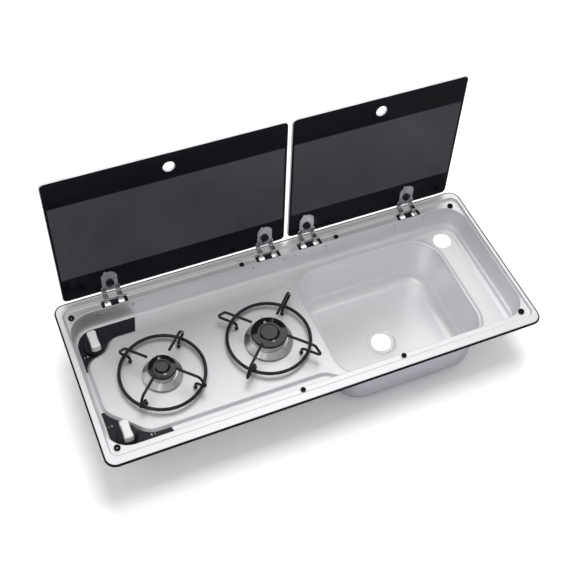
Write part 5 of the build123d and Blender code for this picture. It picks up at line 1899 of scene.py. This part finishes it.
@dataclass
class Studio:
    """The floor, the light and the camera of the photograph."""

    floor_level: float = -168.0
    camera_place: Place = (-0.547353, -0.967170, 1.583328)
    camera_right: Place = (0.921158, -0.385468, 0.053681)
    camera_back: Place = (-0.269397, -0.531988, 0.802754)
    lens: float = 60.747
    shift: Point = (0.0223, -0.0063)
    floor_colour: Colour = (0.86, 0.86, 0.865)
    floor_shown: float = 1.45
    # Glowing discs under the drain and the tap hole: painted light.
    floor_lights: tuple[Corner, ...] = ((*DRAIN, 26.0), (454.0, 182.0, 23.0))
    sky: float = 0.38
    room: tuple[Point, ...] = ((0.0, 0.12), (0.2, 0.42), (0.45, 0.82), (0.7, 0.93))
    front_dimming: tuple[Point, ...] = ((0.46, 0.42), (0.70, 1.0))
    lamps: tuple[Lamp, ...] = (Lamp("key", (0.45, 0.95, 1.75), 1.3, 5.0),
                               Lamp("side", (-1.0, -0.6, 1.6), 0.8, 3.0),
                               Lamp("top", (0.0, 0.0, 2.0), 1.0, 28.0, mirrored=False))

    def camera(self) -> None:
        """Places the camera where the photograph was taken from."""
        data = bpy.data.cameras.new("camera")
        data.lens = self.lens
        data.sensor_width = 36.0
        data.shift_x, data.shift_y = self.shift
        data.clip_end = 50.0
        camera = bpy.data.objects.new("camera", data)
        right, back = Vector(self.camera_right).normalized(), Vector(self.camera_back).normalized()
        up = back.cross(right).normalized()
        turn = Matrix((right, up, back)).transposed().to_4x4()
        camera.matrix_world = Matrix.Translation(self.camera_place) @ turn
        bpy.context.scene.collection.objects.link(camera)
        bpy.context.scene.camera = camera

    def floor(self) -> None:
        """A wide pale floor, white to the camera where no shadow falls, with two glowing discs under the bare
        holes: painted light in the floor's shade.
        """
        draft = Draft()
        z = self.floor_level
        draft.face(draft.ring([(-9000, -9000, z), (9000, -9000, z), (9000, 9000, z), (-9000, 9000, z)]))
        board = Board("studio_floor")
        board.constant(Base_Color=(*self.floor_colour, 1.0), Roughness=0.9, Specular_IOR_Level=0.0)
        seen = board.add("ShaderNodeBsdfDiffuse")
        seen.inputs["Color"].default_value = (self.floor_shown, self.floor_shown, self.floor_shown, 1.0)
        path = board.add("ShaderNodeLightPath")
        chosen = board.add("ShaderNodeMixShader")
        board.link(path.outputs["Is Camera Ray"], chosen.inputs[0])
        board.link(board.shader.outputs["BSDF"], chosen.inputs[1])
        board.link(seen.outputs["BSDF"], chosen.inputs[2])
        output = next(n for n in board.tree.nodes if n.type == "OUTPUT_MATERIAL")
        board.link(chosen.outputs["Shader"], output.inputs["Surface"])
        draft.made("floor", [board.material])
        # Two glowing discs under the drain and the tap hole: painted light, so that the holes look white where
        # the floor lies in shade.
        patch = Draft()
        for x, y, r in self.floor_lights:
            patch.flat(circle(x, y, r), [], z + 0.3)
        lit = Board("studio_glow_discs")
        lit.constant(Base_Color=(*self.floor_colour, 1.0), Roughness=0.9, Emission_Color=(1.0, 1.0, 1.0, 1.0),
                     Emission_Strength=1.0)
        patch.made("glowing_floor_discs", [lit.material])

    def light(self) -> None:
        """A world like a pale room that darkens to the ground and the front, and soft lamps."""
        world = bpy.data.worlds.new("studio")
        bpy.context.scene.world = world
        world.use_nodes = True
        tree = world.node_tree
        ground = tree.nodes["Background"]
        ground.inputs["Color"].default_value = (1.0, 1.0, 1.0, 1.0)
        path = tree.nodes.new("ShaderNodeLightPath")
        place = tree.nodes.new("ShaderNodeTexCoord")
        axes = tree.nodes.new("ShaderNodeSeparateXYZ")
        tree.links.new(place.outputs["Generated"], axes.inputs["Vector"])
        walls = tree.nodes.new("ShaderNodeValToRGB")
        for element, (height, level) in zip(self.stops(walls, len(self.room)), self.room):
            element.position = height
            element.color = (level, level, level, 1.0)
        tree.links.new(axes.outputs["Z"], walls.inputs["Fac"])
        dimming = tree.nodes.new("ShaderNodeMapRange")
        dimming.interpolation_type = "SMOOTHSTEP"
        (dark_at, dark), (bright_at, bright) = self.front_dimming
        for key, value in (("From Min", 2 * dark_at - 1), ("From Max", 2 * bright_at - 1), ("To Min", dark),
                           ("To Max", bright)):
            dimming.inputs[key].default_value = value
        tree.links.new(axes.outputs["Y"], dimming.inputs["Value"])
        dimmed = tree.nodes.new("ShaderNodeMath")
        dimmed.operation = "MULTIPLY"
        tree.links.new(walls.outputs["Color"], dimmed.inputs[0])
        tree.links.new(dimming.outputs["Result"], dimmed.inputs[1])
        glossy = self.mixed_value(tree, path.outputs["Is Glossy Ray"], self.sky, dimmed.outputs["Value"])
        camera = self.mixed_value(tree, path.outputs["Is Transmission Ray"], glossy, 1.0)
        shown = self.mixed_value(tree, path.outputs["Is Camera Ray"], camera, 1.0)
        tree.links.new(shown, ground.inputs["Strength"])
        for lamp in self.lamps:
            lamp.hang()

    @staticmethod
    def stops(ramp: bpy.types.Node, count: int) -> bpy.types.bpy_prop_collection:
        """Gives a ramp a number of stops and hands them out."""
        while len(ramp.color_ramp.elements) < count:
            ramp.color_ramp.elements.new(0.5)
        return ramp.color_ramp.elements

    @staticmethod
    def mixed_value(tree: bpy.types.NodeTree, factor: Socket, first: Socket | float,
                    second: Socket | float) -> Socket:
        """Goes from one value to another.

        Args:
            tree: The nodes.
            factor: The share of the second value.
            first: The first value.
            second: The second value.

        Returns:
            The value's socket.
        """
        node = tree.nodes.new("ShaderNodeMix")
        tree.links.new(factor, node.inputs["Factor"])
        for name, value in (("A", first), ("B", second)):
            socket = next(s for s in node.inputs if s.name == name and s.type == "VALUE")
            if isinstance(value, (int, float)):
                socket.default_value = value
            else:
                tree.links.new(value, socket)
        return next(s for s in node.outputs if s.type == "VALUE")

    def build(self) -> None:
        """Sets up the view transform, the camera, the floor and the light."""
        bpy.context.scene.view_settings.view_transform = "Standard"
        self.camera()
        self.floor()
        self.light()


def main() -> None:
    """Builds every sub-assembly in order."""
    logging.basicConfig(level=logging.INFO, format="%(name)s: %(message)s")
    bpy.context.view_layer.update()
    tray = Tray()
    tray.build()
    Bowl(tray).build()
    LedgeFittings().build()
    Lid("left", Body.LEFT_LID, left=-426.0, right=41.0, hinges=HINGE_XS[:2]).build()
    Lid("right", Body.RIGHT_LID, left=49.5, right=422.5, hinges=HINGE_XS[2:]).build()
    Knob("rear", Body.REAR_KNOB, REAR_KNOB_Y, off_mark=(-412.0, 85.0)).build()
    Knob("front", Body.FRONT_KNOB, FRONT_KNOB_Y, off_mark=(-413.0, -77.0), flame_mark=(-350.0, -120.0)).build()
    BurnerSet("small", SMALL_BURNER_X, SMALL_OPENING_R, base_r=39.5, shoulder_r=29.0, shoulder=13.0,
              port_r=26.5, cap_r=27.7, cap_top=31.0, cap_thickness=5.5, dish_r=14.0, screw_offset=18.6,
              ports=30).build()
    BurnerSet("large", LARGE_BURNER_X, LARGE_OPENING_R, base_r=48.5, shoulder_r=37.5, shoulder=14.0,
              port_r=34.5, cap_r=36.3, cap_top=33.0, cap_thickness=6.5, dish_r=19.0, screw_offset=23.5,
              ports=40).build()
    PanSupport("left", SMALL_BURNER_X, inner_r=31.0, bend_r=79.0, toe_r=94.5).build()
    PanSupport("right", LARGE_BURNER_X, inner_r=38.0, bend_r=95.5, toe_r=112.5).build()
    Underside().build()
    Studio().build()


if __name__ == "__main__":
    main()
